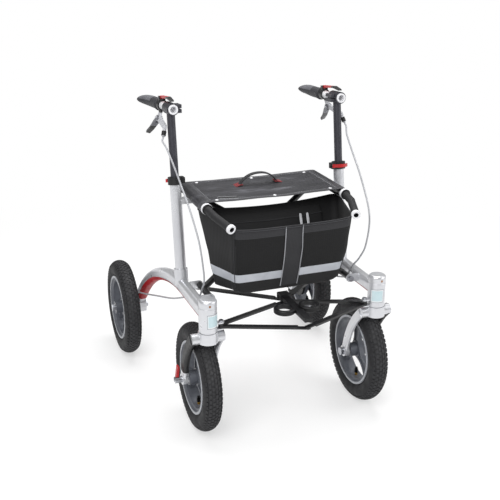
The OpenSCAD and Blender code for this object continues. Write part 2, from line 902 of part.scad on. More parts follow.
module basket_arm() {
    tip = arm_points[2];
    aim = (tip - arm_points[1]) / norm(tip - arm_points[1]);
    color(dark)
        difference() {
            union() {
                translate([rail_x, rail_front_y - 13, rail_z]) along_y(14, 13);
                rod(arm_points[0], arm_points[1], arm_r);
                translate(arm_points[1]) sphere(arm_r + 0.4);
                rod(arm_points[1], tip, arm_r);
                rod(tip - 4 * aim, tip + 4 * aim, arm_r + 1.5);
            }
            rod(tip - (socket_depth - 4) * aim, tip + 6 * aim, arm_socket_r);
        }
}

// Seat: sling between two sleeves that turn on the rails
module seat_sling() {
    sleeve_r = rail_r + gap + 2.5;
    color(fabric)
        difference() {
            union() {
                translate([-rail_x, rail_front_y + 1, rail_z + sleeve_r - sling_t])
                    cube([2 * rail_x, rail_len - 2, sling_t]);
                for (s = [-1, 1])
                    translate([s * rail_x, rail_front_y + 1, rail_z]) along_y(sleeve_r, rail_len - 2);
            }
            for (s = [-1, 1]) {
                translate([s * rail_x, rail_front_y - 1, rail_z]) along_y(rail_r + gap, rail_len + 10);
                translate([s * rail_x - 30, -112, rail_z - 40]) cube([60, 110, 45]);
            }
        }
}

// Carry strap: a low webbing arch sewn to the middle of the seat
module carry_strap() {
    strap_r = 76;
    strap_w = 22;
    rise = 34;
    base = rail_z + rail_r + gap + 2.5;
    color(black)
        translate([0, -65 - strap_w / 2, base + rise - strap_r])
            rotate([-90, 0, 0])
                intersection() {
                    difference() {
                        cylinder(r = strap_r, h = strap_w, $fn = 96);
                        translate([0, 0, -1]) cylinder(r = strap_r - 3, h = strap_w + 2, $fn = 96);
                    }
                    translate([-100, -200, -1]) cube([200, 200 - strap_r + rise, strap_w + 2]);
                }
}

// Basket: tapered fabric shell hung between the arms, open at the top, with a sagging floor
basket_front_y = -327;
basket_rear_y = -140;
basket_foot_x = [154, 186];
basket_foot_y = [-293, -212];
basket_mid_y = (basket_foot_y[0] + basket_foot_y[1]) / 2;
basket_slope = 4.5;
hem_lift = 5;
basket_foot_z = basket_floor_z + 20;
basket_corner = 20;
basket_levels = [0, 0.2, 0.45, 0.7, 0.9, 1];

function mix(a, b, t) = a + (b - a) * t;

// Height of the cloth at a depth y, from the sloping top edge at t = 0 to the foot at t = 1
function cloth_z(y, t) =
    mix(basket_front_z + tan(basket_slope) * (y - basket_front_y),
        basket_foot_z + 0.06 * (y - basket_mid_y), t);

// Rise of the top hem where it hangs from the arms
function hem(p) =
    hem_lift * pow(min(abs(p[0]) / basket_front_x, 1), 6) * min(max((-200 - p[1]) / 100, 0), 1);

// One ring of the cloth, w is its distance inside the outer face, shrink draws it to the middle
function cloth_ring(t, w, shrink, drop) =
    let (belly = 5 * sin(180 * t),
         front = mix(basket_front_y, basket_foot_y[0], t) - belly + w,
         back = mix(basket_rear_y, basket_foot_y[1], t) - w,
         x_front = mix(basket_front_x, basket_foot_x[0], t) + belly / 2 - w,
         x_back = mix(basket_rear_x, basket_foot_x[1], t) - w,
         r = basket_corner - w,
         half = concat(
             [for (x = [0, 0.5]) [x * x_front, front - (1 - x) * belly / 2]],
             [for (a = [-90:30:0]) [x_front - r + r * cos(a), front + r + r * sin(a)]],
             [[(x_front + x_back) / 2 + belly / 3, (front + back) / 2]],
             [for (a = [0:30:90]) [x_back - r + r * cos(a), back - r + r * sin(a)]],
             [[x_back / 2, back], [0, back]]),
         n = len(half),
         loop = concat(half, [for (i = [n - 2:-1:1]) [-half[i][0], half[i][1]]]))
    [for (p = loop)
        let (y = mix(p[1], basket_mid_y, shrink))
        [p[0] * (1 - shrink), y, cloth_z(p[1], t) + (1 - t) * hem(p) - drop]];

module basket() {
    outer = concat([for (t = basket_levels) cloth_ring(t, 0, 0, 0)],
        [cloth_ring(1, 0, 0.1, 9), cloth_ring(1, 0, 0.5, 17)]);
    inner = concat([for (t = basket_levels) cloth_ring(t, basket_t, 0, t > 0.95 ? -basket_t : 0)],
        [cloth_ring(1, basket_t, 0.1, 9 - basket_t), cloth_ring(1, basket_t, 0.5, 17 - basket_t)]);
    rings = concat([for (i = [len(outer) - 1:-1:0]) outer[i]], inner);
    n = len(rings[0]);
    last = len(rings) - 1;
    points = concat([for (ring = rings) each ring],
        [[0, basket_mid_y, basket_floor_z], [0, basket_mid_y, basket_floor_z + basket_t]]);
    walls = [for (i = [0:last - 1], k = [0:n - 1], h = [0, 1])
        let (m = (k + 1) % n, a = i * n, b = a + n)
        h == 0 ? [a + k, b + m, a + m] : [a + k, b + k, b + m]];
    foot = len(points) - 2;
    caps = [for (k = [0:n - 1], h = [0, 1])
        let (m = (k + 1) % n)
        h == 0 ? [foot, k, m] : [foot + 1, last * n + m, last * n + k]];
    color(fabric) polyhedron(points, concat(walls, caps));
}

// Flat folding link from a pivot eye on the side to a half-thick tab at the knee
module link(pivot, knee, z, tab_up) {
    v = knee - pivot;
    reach = norm(v);
    color(black)
        translate([pivot[0], pivot[1], z])
            rotate(atan2(v[1], v[0]))
                difference() {
                    union() {
                        cylinder(r = eye_r, h = link_t);
                        translate([0, -link_w / 2, 0]) cube([reach - tab_len, link_w, link_t]);
                        translate([0, 0, tab_up ? link_t - tab_t : 0]) {
                            translate([reach, 0, 0]) cylinder(r = eye_r, h = tab_t);
                            translate([reach - tab_len - 4, -link_w / 2, 0])
                                cube([tab_len + 4, link_w, tab_t]);
                        }
                    }
                    translate([0, 0, -1]) cylinder(r = pin_r + run, h = link_t + 2);
                }
}

front_knee = [0, front_knee_y];
rear_knee = [0, rear_knee_y];

// Release plate on the back links' knee, with a pull loop on each side
module release_plate() {
    loop_r = 29;
    loop_y = (front_knee_y + rear_knee_y) / 2 - 8.5;
    color(black)
        translate([0, 0, level[2] + link_t + gap]) {
            translate([-11, front_knee_y - 6, 0]) cube([22, rear_knee_y - front_knee_y + 2, 9]);
            translate([-15, rear_knee_y - 14, 0]) cube([30, 27, 15]);
            for (s = [-1, 1])
                translate([s * 35, loop_y, 7.5])
                    rotate_extrude()
                        translate([loop_r - 5, 0]) rounded(10, 14, 3);
        }
}

on_side(left) side_frame();  // left_side_frame
on_side(right) side_frame();  // right_side_frame
on_side(left) frame_fittings();  // left_frame_fittings
on_side(right) frame_fittings();  // right_frame_fittings
on_side(left) rear_axle();  // left_rear_axle
on_side(right) rear_axle();  // right_rear_axle
on_side(left) brake_plate();  // left_brake_plate
on_side(right) brake_plate();  // right_brake_plate
on_side(left) collar(true);  // left_collar
on_side(right) collar(false);  // right_collar
on_side(left) collar_lever(true);  // left_collar_lever
on_side(right) collar_lever(false);  // right_collar_lever
on_side(left) fork();  // left_fork
on_side(right) fork();  // right_fork
on_side(left) fork_guard();  // left_fork_guard
on_side(right) fork_guard();  // right_fork_guard
on_side(left) front_axle();  // left_front_axle
on_side(right) front_axle();  // right_front_axle
on_side(left) axle_lever();  // left_axle_lever
on_side(right) axle_lever();  // right_axle_lever
on_side(left) at_front_wheel() tyre();  // left_front_tyre
on_side(right) at_front_wheel() tyre();  // right_front_tyre
on_side(left) at_rear_wheel() tyre();  // left_rear_tyre
on_side(right) at_rear_wheel() tyre();  // right_rear_tyre
on_side(left) at_front_wheel() rim(false);  // left_front_rim
on_side(right) at_front_wheel() rim(false);  // right_front_rim
on_side(left) at_rear_wheel() rim(true);  // left_rear_rim
on_side(right) at_rear_wheel() rim(true);  // right_rear_rim
on_side(left) at_front_wheel() wheel_fittings();  // left_front_wheel_fittings
on_side(right) at_front_wheel() wheel_fittings();  // right_front_wheel_fittings
on_side(left) at_rear_wheel() wheel_fittings();  // left_rear_wheel_fittings
on_side(right) at_rear_wheel() wheel_fittings();  // right_rear_wheel_fittings
on_side(left) height_tube();  // left_height_tube
on_side(right) height_tube();  // right_height_tube
on_side(left) handle_tube();  // left_handle_tube
on_side(right) handle_tube();  // right_handle_tube
on_side(left) grip();  // left_grip
on_side(right) grip();  // right_grip
on_side(left) brake_bracket();  // left_brake_bracket
on_side(right) brake_bracket();  // right_brake_bracket
on_side(left) brake_lever();  // left_brake_lever
on_side(right) brake_lever();  // right_brake_lever
on_side(left) parking_lever();  // left_parking_lever
on_side(right) parking_lever();  // right_parking_lever
on_side(left) cable(left_route);  // left_cable
on_side(right) cable(right_route);  // right_cable
cross_tube(left_tube_y, false);  // left_cross_tube
on_side(left) cross_tube(right_tube_y, true);  // right_cross_tube
on_side(left) basket_arm();  // left_basket_arm
on_side(right) basket_arm();  // right_basket_arm
seat_sling();
carry_strap();
basket();
on_side(left) link(head_pivot, front_knee, level[0], false);  // left_front_link
on_side(right) link(head_pivot, front_knee, level[0], true);  // right_front_link
on_side(left) link(head_pivot, rear_knee, level[1], false);  // left_rear_link
on_side(right) link(head_pivot, rear_knee, level[1], true);  // right_rear_link
on_side(left) link(back_pivot, rear_knee, level[2], false);  // left_back_link
on_side(right) link(back_pivot, rear_knee, level[2], true);  // right_back_link
release_plate();
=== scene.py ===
import math

import bpy
from mathutils import Matrix, Vector


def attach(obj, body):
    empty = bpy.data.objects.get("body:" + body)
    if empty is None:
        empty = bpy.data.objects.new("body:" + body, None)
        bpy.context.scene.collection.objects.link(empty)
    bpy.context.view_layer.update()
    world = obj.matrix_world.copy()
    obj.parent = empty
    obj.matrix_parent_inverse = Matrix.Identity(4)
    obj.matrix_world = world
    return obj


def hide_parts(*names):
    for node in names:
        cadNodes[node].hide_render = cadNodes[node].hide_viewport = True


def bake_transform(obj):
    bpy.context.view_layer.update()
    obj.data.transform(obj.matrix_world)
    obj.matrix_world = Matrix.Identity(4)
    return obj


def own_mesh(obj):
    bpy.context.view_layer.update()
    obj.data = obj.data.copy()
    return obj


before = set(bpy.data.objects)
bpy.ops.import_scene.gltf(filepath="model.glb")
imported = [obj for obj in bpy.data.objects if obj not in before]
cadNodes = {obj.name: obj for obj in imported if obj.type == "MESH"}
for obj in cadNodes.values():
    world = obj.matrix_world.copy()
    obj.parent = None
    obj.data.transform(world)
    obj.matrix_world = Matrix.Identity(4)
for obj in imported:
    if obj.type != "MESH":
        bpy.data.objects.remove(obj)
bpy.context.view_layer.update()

mm = 0.001
print("frame loaded:", len(cadNodes), "nodes")

# shared places of the walker, in millimetres as in the part's source
walker = {
    "sideX": 245, "uprightY": -116, "beamZ": 372, "lean": 8,
    "handleUp": 481, "handleDrop": 4, "leverTilt": 18,
    "railX": 200, "railZ": 612.12, "railFront": -204, "foldKeep": 0.43,
    "head": (243, -340), "frontWheel": (243, -249, 150), "rearWheel": (324, 282, 150),
}
sides = {"left": -1, "right": 1}


def turn(degrees, axis):
    return Matrix.Rotation(math.radians(degrees), 4, axis)


def handleFrame():
    lean = math.radians(walker["lean"])
    y = walker["uprightY"] + math.sin(lean) * walker["handleUp"]
    z = walker["beamZ"] + math.cos(lean) * walker["handleUp"]
    return Matrix.Translation((walker["sideX"], y, z)) @ turn(-walker["handleDrop"], "X")


def leverFrame():
    return handleFrame() @ turn(-walker["leverTilt"], "Y")


# camera where the photograph was taken from
cameraSetup = {"place": (-0.8799, -2.3031, 1.3121), "yaw": 20.95, "pitch": 20.31, "roll": 0.25,
               "lens": 63.7, "sensor": 36}


def setCamera():
    c = cameraSetup
    data = bpy.data.cameras.new("photoCamera")
    data.lens, data.sensor_width, data.sensor_fit = c["lens"], c["sensor"], "HORIZONTAL"
    camera = bpy.data.objects.new("photoCamera", data)
    bpy.context.scene.collection.objects.link(camera)
    camera.matrix_world = (Matrix.Translation(c["place"]) @ turn(-c["yaw"], "Z") @ turn(90 - c["pitch"], "X")
                           @ turn(c["roll"], "Z"))
    bpy.context.scene.camera = camera


setCamera()
print("camera set")


# small helpers round Blender's operators
def clearPicks():
    if bpy.context.mode != "OBJECT":
        bpy.ops.object.mode_set(mode="OBJECT")
    bpy.ops.object.select_all(action="DESELECT")


def pick(piece):
    clearPicks()
    piece.select_set(True)
    bpy.context.view_layer.objects.active = piece


def newest(name):
    piece = bpy.context.object
    piece.name = piece.data.name = name
    return piece


def start(name, operator, **settings):
    clearPicks()
    operator(**settings)
    return newest(name)


def leaveEdit():
    bpy.ops.object.mode_set(mode="OBJECT")


def applyAll(piece):
    pick(piece)
    for modifier in list(piece.modifiers):
        bpy.ops.object.modifier_apply(modifier=modifier.name)


def settle(piece, matrix=None):
    # the place goes into the mesh, in metres
    if matrix is not None:
        bpy.context.view_layer.update()
        piece.matrix_world = matrix @ piece.matrix_world
    pick(piece)
    bpy.ops.object.transform_apply(location=True, rotation=True, scale=True)
    return piece


def editAll(piece):
    pick(piece)
    bpy.ops.object.mode_set(mode="EDIT")
    bpy.ops.mesh.select_all(action="SELECT")


def tidyNormals(piece, merge=0.00001):
    editAll(piece)
    bpy.ops.mesh.remove_doubles(threshold=merge)
    bpy.ops.mesh.normals_make_consistent(inside=False)
    leaveEdit()
    return piece


def smooth(piece, angle):
    pick(piece)
    bpy.ops.object.shade_smooth_by_angle(angle=math.radians(angle))
    return piece


def copyOf(piece, name, matrix, mirrored=False):
    twin = piece.copy()
    twin.data = piece.data.copy()
    twin.name = twin.data.name = name
    bpy.context.scene.collection.objects.link(twin)
    settle(twin, matrix)
    if mirrored:
        editAll(twin)
        bpy.ops.mesh.flip_normals()
        leaveEdit()
    return twin


def otherSide(piece, name):
    return copyOf(piece, name, Matrix.Scale(-1, 4, (1, 0, 0)), True)


def pairUp(piece, name, body, replaced=None):
    # a piece of the right side and its mirrored twin, each on the body of its own side
    twin = otherSide(piece, f"left{name}")
    for each, sideName in ((piece, "right"), (twin, "left")):
        if replaced:
            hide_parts(f"{sideName}_{replaced}")
        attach(each, f"{sideName}_{body}")


def paint(piece, *materials):
    piece.data.materials.clear()
    for material in materials:
        piece.data.materials.append(material)
    return piece


def inMetres(matrix):
    place = matrix.copy()
    place.translation = place.translation * mm
    return place


def pointing(place, aim):
    # a frame at a place, with Z along the aim
    return Matrix.Translation(place) @ Vector((0, 0, 1)).rotation_difference(aim).to_matrix().to_4x4()


def turned(name, profile, count, matrix=None, leastRadius=0.01, merge=0.000002):
    # profile: (radius, height) pairs up the Z axis, in millimetres
    spots = [(max(r, leastRadius), z) for r, z in profile]
    radius, height = spots[0]
    piece = start(name, bpy.ops.mesh.primitive_circle_add, vertices=count, radius=radius * mm,
                  fill_type="NGON", location=(0, 0, height * mm))
    editAll(piece)
    for nextRadius, nextHeight in spots[1:]:
        bpy.ops.mesh.extrude_region_move(TRANSFORM_OT_translate={"value": (0, 0, (nextHeight - height) * mm)})
        scale = nextRadius / radius
        bpy.ops.transform.resize(value=(scale, scale, 1), center_override=(0, 0, nextHeight * mm))
        radius, height = nextRadius, nextHeight
    leaveEdit()
    settle(piece)
    tidyNormals(piece, merge)
    if matrix is not None:
        settle(piece, inMetres(matrix))
    return piece


def dropCaps(piece):
    # the flat ends of a turned piece go, so that it is a shell
    editAll(piece)
    bpy.ops.mesh.select_mode(type="FACE")
    bpy.ops.mesh.select_face_by_sides(number=4, type="GREATER", extend=False)
    bpy.ops.mesh.delete(type="FACE")
    leaveEdit()
    return piece


def tube(name, points, radius, sidesHalf, closed=False):
    # round bar along points given in millimetres
    piece = start(name, bpy.ops.curve.primitive_nurbs_path_add)
    curve = piece.data
    curve.splines.clear()
    line = curve.splines.new("POLY")
    line.points.add(len(points) - 1)
    for spot, p in zip(line.points, points):
        spot.co = (p[0] * mm, p[1] * mm, p[2] * mm, 1)
    line.use_cyclic_u = closed
    curve.bevel_depth, curve.bevel_resolution, curve.use_fill_caps = radius * mm, sidesHalf, True
    piece.location = (0, 0, 0)
    pick(piece)
    bpy.ops.object.convert(target="MESH")
    return smooth(tidyNormals(newest(name)), 50)


def draped(name, columns, rows, spot):
    # a grid whose corner (i, j) goes to spot(i, j), in millimetres
    piece = start(name, bpy.ops.mesh.primitive_grid_add, x_subdivisions=columns, y_subdivisions=rows, size=2)
    for v in piece.data.vertices:
        i = round((v.co.x + 1) / 2 * columns)
        j = round((v.co.y + 1) / 2 * rows)
        v.co = Vector(spot(i, j)) * mm
    return piece


def thicken(piece, thickness, offset):
    modifier = piece.modifiers.new("cloth", "SOLIDIFY")
    modifier.thickness, modifier.offset = thickness * mm, offset
    applyAll(piece)
    return piece


def slab(name, columns, rows, spot, thick):
    return thicken(tidyNormals(draped(name, columns, rows, spot)), thick, 0)


def soften(piece):
    modifier = piece.modifiers.new("soft", "SUBSURF")
    modifier.levels = modifier.render_levels = 1
    applyAll(piece)
    return piece


def edgeRound(piece, width, segments=2):
    modifier = piece.modifiers.new("edge", "BEVEL")
    modifier.width, modifier.segments, modifier.limit_method = width * mm, segments, "ANGLE"
    applyAll(piece)
    return piece


# finishes, all from nodes
def tone(code):
    channels = [int(code[i:i + 2], 16) / 255 for i in (1, 3, 5)]
    return [c / 12.92 if c <= 0.04045 else ((c + 0.055) / 1.055) ** 2.4 for c in channels] + [1.0]


class Finish:
    def __init__(self, name, colour, rough, metal=0.0):
        self.material = bpy.data.materials.new(name)
        self.material.use_nodes = True
        self.nodes, self.links = self.material.node_tree.nodes, self.material.node_tree.links
        self.shader = self.nodes["Principled BSDF"]
        self.coords = self.nodes.new("ShaderNodeTexCoord").outputs["Object"]
        self.fill(self.shader, {"Base Color": tone(colour), "Roughness": rough, "Metallic": metal})

    def fill(self, node, inputs):
        # each input is a plain value, or a socket to link
        for name, value in inputs.items():
            if isinstance(value, bpy.types.NodeSocket):
                self.links.new(value, node.inputs[name])
            else:
                node.inputs[name].default_value = value
        return node

    def add(self, kind, inputs=None, **settings):
        node = self.nodes.new(kind)
        for key, value in settings.items():
            setattr(node, key, value)
        return self.fill(node, inputs or {})

    def noise(self, scale, detail=4.0, rough=0.55, coords=None):
        return self.add("ShaderNodeTexNoise", {"Vector": coords or self.coords, "Scale": scale,
                                               "Detail": detail, "Roughness": rough}).outputs["Fac"]

    def ramp(self, source, stops):
        node = self.add("ShaderNodeValToRGB", {"Fac": source})
        ramp = node.color_ramp
        while len(ramp.elements) < len(stops):
            ramp.elements.new(0.5)
        for element, (place, colour) in zip(ramp.elements, stops):
            element.position, element.color = place, tone(colour)
        return node.outputs["Color"]

    def spread(self, source, low, high, fromLow=0.3, fromHigh=0.7):
        return self.add("ShaderNodeMapRange", {"Value": source, "From Min": fromLow, "From Max": fromHigh,
                                               "To Min": low, "To Max": high}).outputs["Result"]

    def mixColour(self, factor, a, b):
        # the colour sockets of this node share their names, so they go by number
        a, b = (tone(c) if isinstance(c, str) else c for c in (a, b))
        return self.add("ShaderNodeMix", {0: factor, 6: a, 7: b}, data_type="RGBA").outputs[2]

    def axis(self, name, coords=None):
        return self.add("ShaderNodeSeparateXYZ", {"Vector": coords or self.coords}).outputs[name]

    def maths(self, operation, *values):
        return self.add("ShaderNodeMath", dict(enumerate(values)), operation=operation).outputs["Value"]

    def length(self, a, b):
        squares = [self.maths("MULTIPLY", side, side) for side in (a, b)]
        return self.maths("SQRT", self.maths("ADD", *squares))

    def shifted(self, place=(0, 0, 0), rotation=(0, 0, 0), scale=(1, 1, 1)):
        return self.add("ShaderNodeMapping", {"Vector": self.coords, "Location": place, "Rotation": rotation,
                                              "Scale": scale}).outputs["Vector"]

    def fromAxle(self, centre):
        around = self.shifted([-c * mm for c in centre])
        return self.length(self.axis("Y", around), self.axis("Z", around))

    def colour(self, source):
        self.fill(self.shader, {"Base Color": source})

    def roughness(self, source):
        self.fill(self.shader, {"Roughness": source})

    def bump(self, source, strength, depth):
        node = self.add("ShaderNodeBump", {"Strength": strength, "Distance": depth * mm, "Height": source})
        self.fill(self.shader, {"Normal": node.outputs["Normal"]})

    def clouds(self, dark, light, scale, detail=4, stops=(0.3, 0.7)):
        # soft patches of two tones
        return self.ramp(self.noise(scale, detail), list(zip(stops, (dark, light))))

    def uneven(self, low, high, scale, detail=4):
        self.roughness(self.spread(self.noise(scale, detail), low, high))

    def grain(self, scale, detail, strength, depth):
        self.bump(self.noise(scale, detail), strength, depth)


def glossPaint(name, light, dark, rough, coat, metal=0.0):
    f = Finish(name, light, rough, metal)
    f.colour(f.clouds(dark, light, scale=9, detail=3))
    f.uneven(rough - 0.04, rough + 0.06, scale=16, detail=3)
    f.grain(scale=300, detail=2, strength=0.03, depth=0.05)
    f.fill(f.shader, {"Coat Weight": coat, "Coat Roughness": 0.12})
    return f.material


def moulded(name, light, dark, rough, grainScale=900, strength=0.25):
    f = Finish(name, light, rough)
    f.colour(f.clouds(dark, light, scale=30, stops=(0.3, 0.72)))
    f.uneven(rough - 0.08, rough + 0.08, scale=60)
    f.grain(grainScale, detail=3, strength=strength, depth=0.2)
    return f.material


def metalFinish(name, light, dark, rough, metal=1.0):
    f = Finish(name, light, rough, metal)
    f.colour(f.clouds(dark, light, scale=25, detail=5))
    f.uneven(rough - 0.08, rough + 0.12, scale=80, detail=5)
    f.grain(scale=700, detail=2, strength=0.06, depth=0.1)
    return f.material


def tippedFinish(name, body, bodyDark, tip, axisName, edge, over, rough):
    # one moulded piece whose end is another colour, past a place on one axis
    f = Finish(name, body, rough)
    base = f.clouds(bodyDark, body, scale=30, detail=3)
    inTip = f.maths("GREATER_THAN" if over else "LESS_THAN", f.axis(axisName), edge * mm)
    f.colour(f.mixColour(inTip, base, tip))
    f.uneven(rough - 0.05, rough + 0.08, scale=60, detail=3)
    f.grain(scale=600, detail=2, strength=0.1, depth=0.15)
    return f.material


def wovenCloth(name, light, dark, rough, pitch, strength, sheen, plane):
    f = Finish(name, light, rough)
    waves = []
    for direction in plane:
        inputs = {"Vector": f.coords, "Scale": math.pi / (pitch * mm) / 20, "Distortion": 0.6, "Detail": 1.0}
        wave = f.add("ShaderNodeTexWave", inputs, wave_type="BANDS", bands_direction=direction)
        waves.append(wave.outputs["Fac"])
    weave = f.maths("MULTIPLY", *waves)
    cloud = f.noise(scale=14, detail=5, rough=0.6)
    shade = f.maths("ADD", f.maths("MULTIPLY", weave, 0.45), f.maths("MULTIPLY", cloud, 0.6))
    f.colour(f.ramp(shade, [(0.2, dark), (0.75, light)]))
    f.bump(weave, strength, depth=0.35)
    f.fill(f.shader, {"Sheen Weight": sheen, "Sheen Roughness": 0.5})
    return f.material


def seatFinish(name):
    # dark cloth with a dull shine and stretched wrinkles, whose crests carry a painted highlight in the
    # colour
    f = Finish(name, "#2f2f33", 0.45)
    long = f.shifted(rotation=(0, 0, 0.25), scale=(1.2, 5.5, 1))
    short = f.shifted(rotation=(0, 0, -0.5), scale=(1, 2.6, 1))
    wrinkles = f.noise(scale=5, detail=6, rough=0.6, coords=long)
    crumple = f.noise(scale=22, detail=5, rough=0.6, coords=short)
    shade = f.maths("ADD", f.maths("MULTIPLY", wrinkles, 0.7), f.maths("MULTIPLY", crumple, 0.3))
    # the pale last stop of the ramp paints highlights on the wrinkle crests
    f.colour(f.ramp(shade, [(0.36, "#242427"), (0.56, "#343438"), (0.68, "#6a6a70")]))
    f.roughness(f.spread(crumple, 0.34, 0.6))
    weave = f.maths("MULTIPLY", f.noise(scale=900, detail=2), 0.06)
    f.bump(f.maths("ADD", wrinkles, weave), strength=0.55, depth=4)
    return f.material


def tyreFinish(name, centre):
    # dusty shoulders and a darker wall, by the distance from the axle
    f = Finish(name, "#1c1c1e", 0.8)
    tread = f.spread(f.fromAxle(centre), 0.0, 1.0, fromLow=0.136, fromHigh=0.149)
    base = f.clouds("#161618", "#232326", scale=45, detail=5)
    dust = f.ramp(f.noise(scale=60, detail=6, rough=0.7), [(0.3, "#232325"), (0.75, "#39393b")])
    f.colour(f.mixColour(tread, base, dust))
    f.uneven(0.62, 0.85, scale=50)
    f.grain(scale=650, detail=3, strength=0.25, depth=0.25)
    return f.material


# distances from the axle where a wheel's colours change, in metres
wheelEdges = {"rimEdge": 0.0955, "valveCap": 0.0785, "bearing": 0.03}


def rimFinish(name, centre):
    # mid grey moulding with a brighter turned edge
    f = Finish(name, "#5d6066", 0.42)
    base = f.clouds("#50535a", "#63666d", scale=25)
    edge = f.maths("GREATER_THAN", f.fromAxle(centre), wheelEdges["rimEdge"])
    f.colour(f.mixColour(edge, base, "#aeb1b6"))
    f.uneven(0.34, 0.5, scale=70)
    f.grain(scale=800, detail=2, strength=0.1, depth=0.15)
    return f.material


def fittingFinish(name, centre):
    # bright bearings at the axle, a black valve cap and a brass stem further out
    f = Finish(name, "#c19a4e", 0.32, 1.0)
    reach = f.fromAxle(centre)
    stem = f.clouds("#a07b36", "#c19a4e", scale=60)
    capped = f.mixColour(f.maths("LESS_THAN", reach, wheelEdges["valveCap"]), stem, "#19191b")
    f.colour(f.mixColour(f.maths("LESS_THAN", reach, wheelEdges["bearing"]), capped, "#c4c6cb"))
    f.uneven(0.26, 0.44, scale=80)
    f.grain(scale=700, detail=2, strength=0.08, depth=0.1)
    return f.material


white = glossPaint("whitePaint", "#dcdde0", "#d2d3d7", 0.3, 0.25, 0.6)
liningRed = moulded("liningRed", "#b3121c", "#980d16", 0.5, 700, 0.1)
red = glossPaint("redGloss", "#c41a20", "#b3141a", 0.26, 0.5)
black = moulded("blackPlastic", "#151517", "#0e0e10", 0.5)
blackPaint = glossPaint("blackPaint", "#151517", "#0e0e10", 0.38, 0.2)
rubber = moulded("armRubber", "#1f1f21", "#161618", 0.7, 700, 0.35)
gripDark = moulded("gripRubber", "#3a3a3e", "#2c2c30", 0.62, 800, 0.4)
gripPale = moulded("gripPalm", "#66666b", "#58585d", 0.6, 800, 0.4)
tubeGrey = metalFinish("greyTube", "#4a4a50", "#3d3d43", 0.42, 0.55)
steel = metalFinish("brightSteel", "#c9cbd0", "#aeb0b6", 0.28)
sheath = glossPaint("cableSheath", "#b6b7bb", "#a6a7ab", 0.4, 0.15)
ringWhite = moulded("ringWhite", "#eeeef0", "#e2e2e5", 0.35, 700, 0.1)
seatTop = seatFinish("seatCloth")
hemCloth = wovenCloth("hemCloth", "#434347", "#2c2c30", 0.6, 1.8, 0.45, 0.06, "XY")
bagCloth = wovenCloth("bagCloth", "#19191b", "#0c0c0d", 0.8, 2.0, 0.5, 0.04, "XZ")
bagBand = wovenCloth("bagBand", "#303033", "#1f1f22", 0.75, 2.0, 0.45, 0.06, "XZ")
bagMesh = wovenCloth("bagMesh", "#121214", "#060607", 0.9, 3.2, 0.9, 0.03, "XZ")
piping = wovenCloth("palePiping", "#a9aaae", "#8d8e93", 0.7, 1.2, 0.3, 0.1, "XZ")
zipTag = moulded("zipTag", "#d3d4d8", "#bfc0c5", 0.4, 700, 0.1)
reflective = metalFinish("reflectiveTape", "#c9ccd2", "#b4b8bf", 0.45, 0.25)
webbing = wovenCloth("webbing", "#2c2c2f", "#161618", 0.7, 2.4, 0.8, 0.06, "XY")
redWeb = wovenCloth("redWebbing", "#8e1a22", "#5f0f15", 0.8, 2.0, 0.6, 0.1, "XY")
print("finishes ready:", len(bpy.data.materials))

# finishes of the CAD nodes that have one tone, also those that a piece replaces
finishNodes = (
    (white, "side_frame fork"), (steel, "frame_fittings front_axle rear_axle"), (red, "collar_lever"),
    (black, "brake_plate collar fork_guard release_plate"), (rubber, "basket_arm front_tyre rear_tyre"),
    (blackPaint, "cross_tube front_link rear_link back_link"), (tubeGrey, "height_tube"),
    (ringWhite, "handle_tube"), (gripDark, "grip"), (seatTop, "seat_sling"), (webbing, "carry_strap"),
    (bagCloth, "basket"), (sheath, "cable"),
)
# two-coloured mouldings: body, darker body, tip, axis, edge in millimetres, tip over the edge, roughness
tippedNodes = {
    "parking_lever": ("#c4252b", "#ad1c22", "#161618", "Y", -22, False, 0.32),
    "brake_bracket": ("#c9cace", "#b9babf", "#19191b", "Z", 824, True, 0.36),
    "axle_lever": ("#bf1f26", "#a8181e", "#18181a", "Z", 160, False, 0.32),
    "brake_lever": ("#76777d", "#606167", "#1a1a1c", "Z", 782, False, 0.36),
}


def wheelPlace(sideName, end):
    x, y, z = walker[f"{end}Wheel"]
    return sides[sideName] * x, y, z


def dressNodes():
    for finish, names in finishNodes:
        for base in names.split():
            for name in (base, f"left_{base}", f"right_{base}"):
                if name in cadNodes:
                    paint(cadNodes[name], finish)
    for sideName in sides:
        for end in ("front", "rear"):
            centre, wheel = wheelPlace(sideName, end), f"{sideName}{end.title()}"
            paint(cadNodes[f"{sideName}_{end}_rim"], rimFinish(f"{wheel}Rim", centre))
            paint(cadNodes[f"{sideName}_{end}_wheel_fittings"], fittingFinish(f"{wheel}Fittings", centre))
        for base, look in tippedNodes.items():
            title = base.title().replace("_", "")
            paint(cadNodes[f"{sideName}_{base}"], tippedFinish(f"{sideName}{title}", *look))


dressNodes()
print("nodes dressed")

# brake cables, along the routes of the part's source
cableSetup = {
    "radius": 2.5, "steps": 132, "adjusterTop": (0, 6, -50), "adjusterEnd": (0, -2, -76),
    "leadIn": (-3, 4, 14), "plate": (289.9, 282, 150), "plateAngle": 128, "leadOut": (84, 74, 67),
    "left": [(266, -76, 748), (256, -104, 708), (243, -124, 658), (235, -174, 603), (233, -240, 540),
             (228, -256, 480), (223, -252, 430), (222, -232, 400), (222, -200, 362), (225, -150, 340)],
    "right": [(268, -76, 745), (267, -112, 708), (266, -180, 640), (262, -244, 555), (252, -252, 474),
              (240, -240, 430), (226, -226, 402), (222, -200, 362), (225, -150, 340)],
    "end": [(228, -110, 327), (242, -10, 284), (261, 110, 247), (280, 192, 224)],
}


def adjusterLine():
    top, end = Vector(cableSetup["adjusterTop"]), Vector(cableSetup["adjusterEnd"])
    return end, (end - top).normalized()


def curvePoint(route, u):
    n = len(route) - 1
    t = u * n
    i = min(int(t), n - 1)
    s = t - i
    a, b, c, d = route[max(i - 1, 0)], route[i], route[i + 1], route[min(i + 2, n)]
    bend, twist = 2 * a - 5 * b + 4 * c - d, 3 * b - a - 3 * c + d
    return 0.5 * (2 * b + s * (c - a) + s * s * bend + s * s * s * twist)


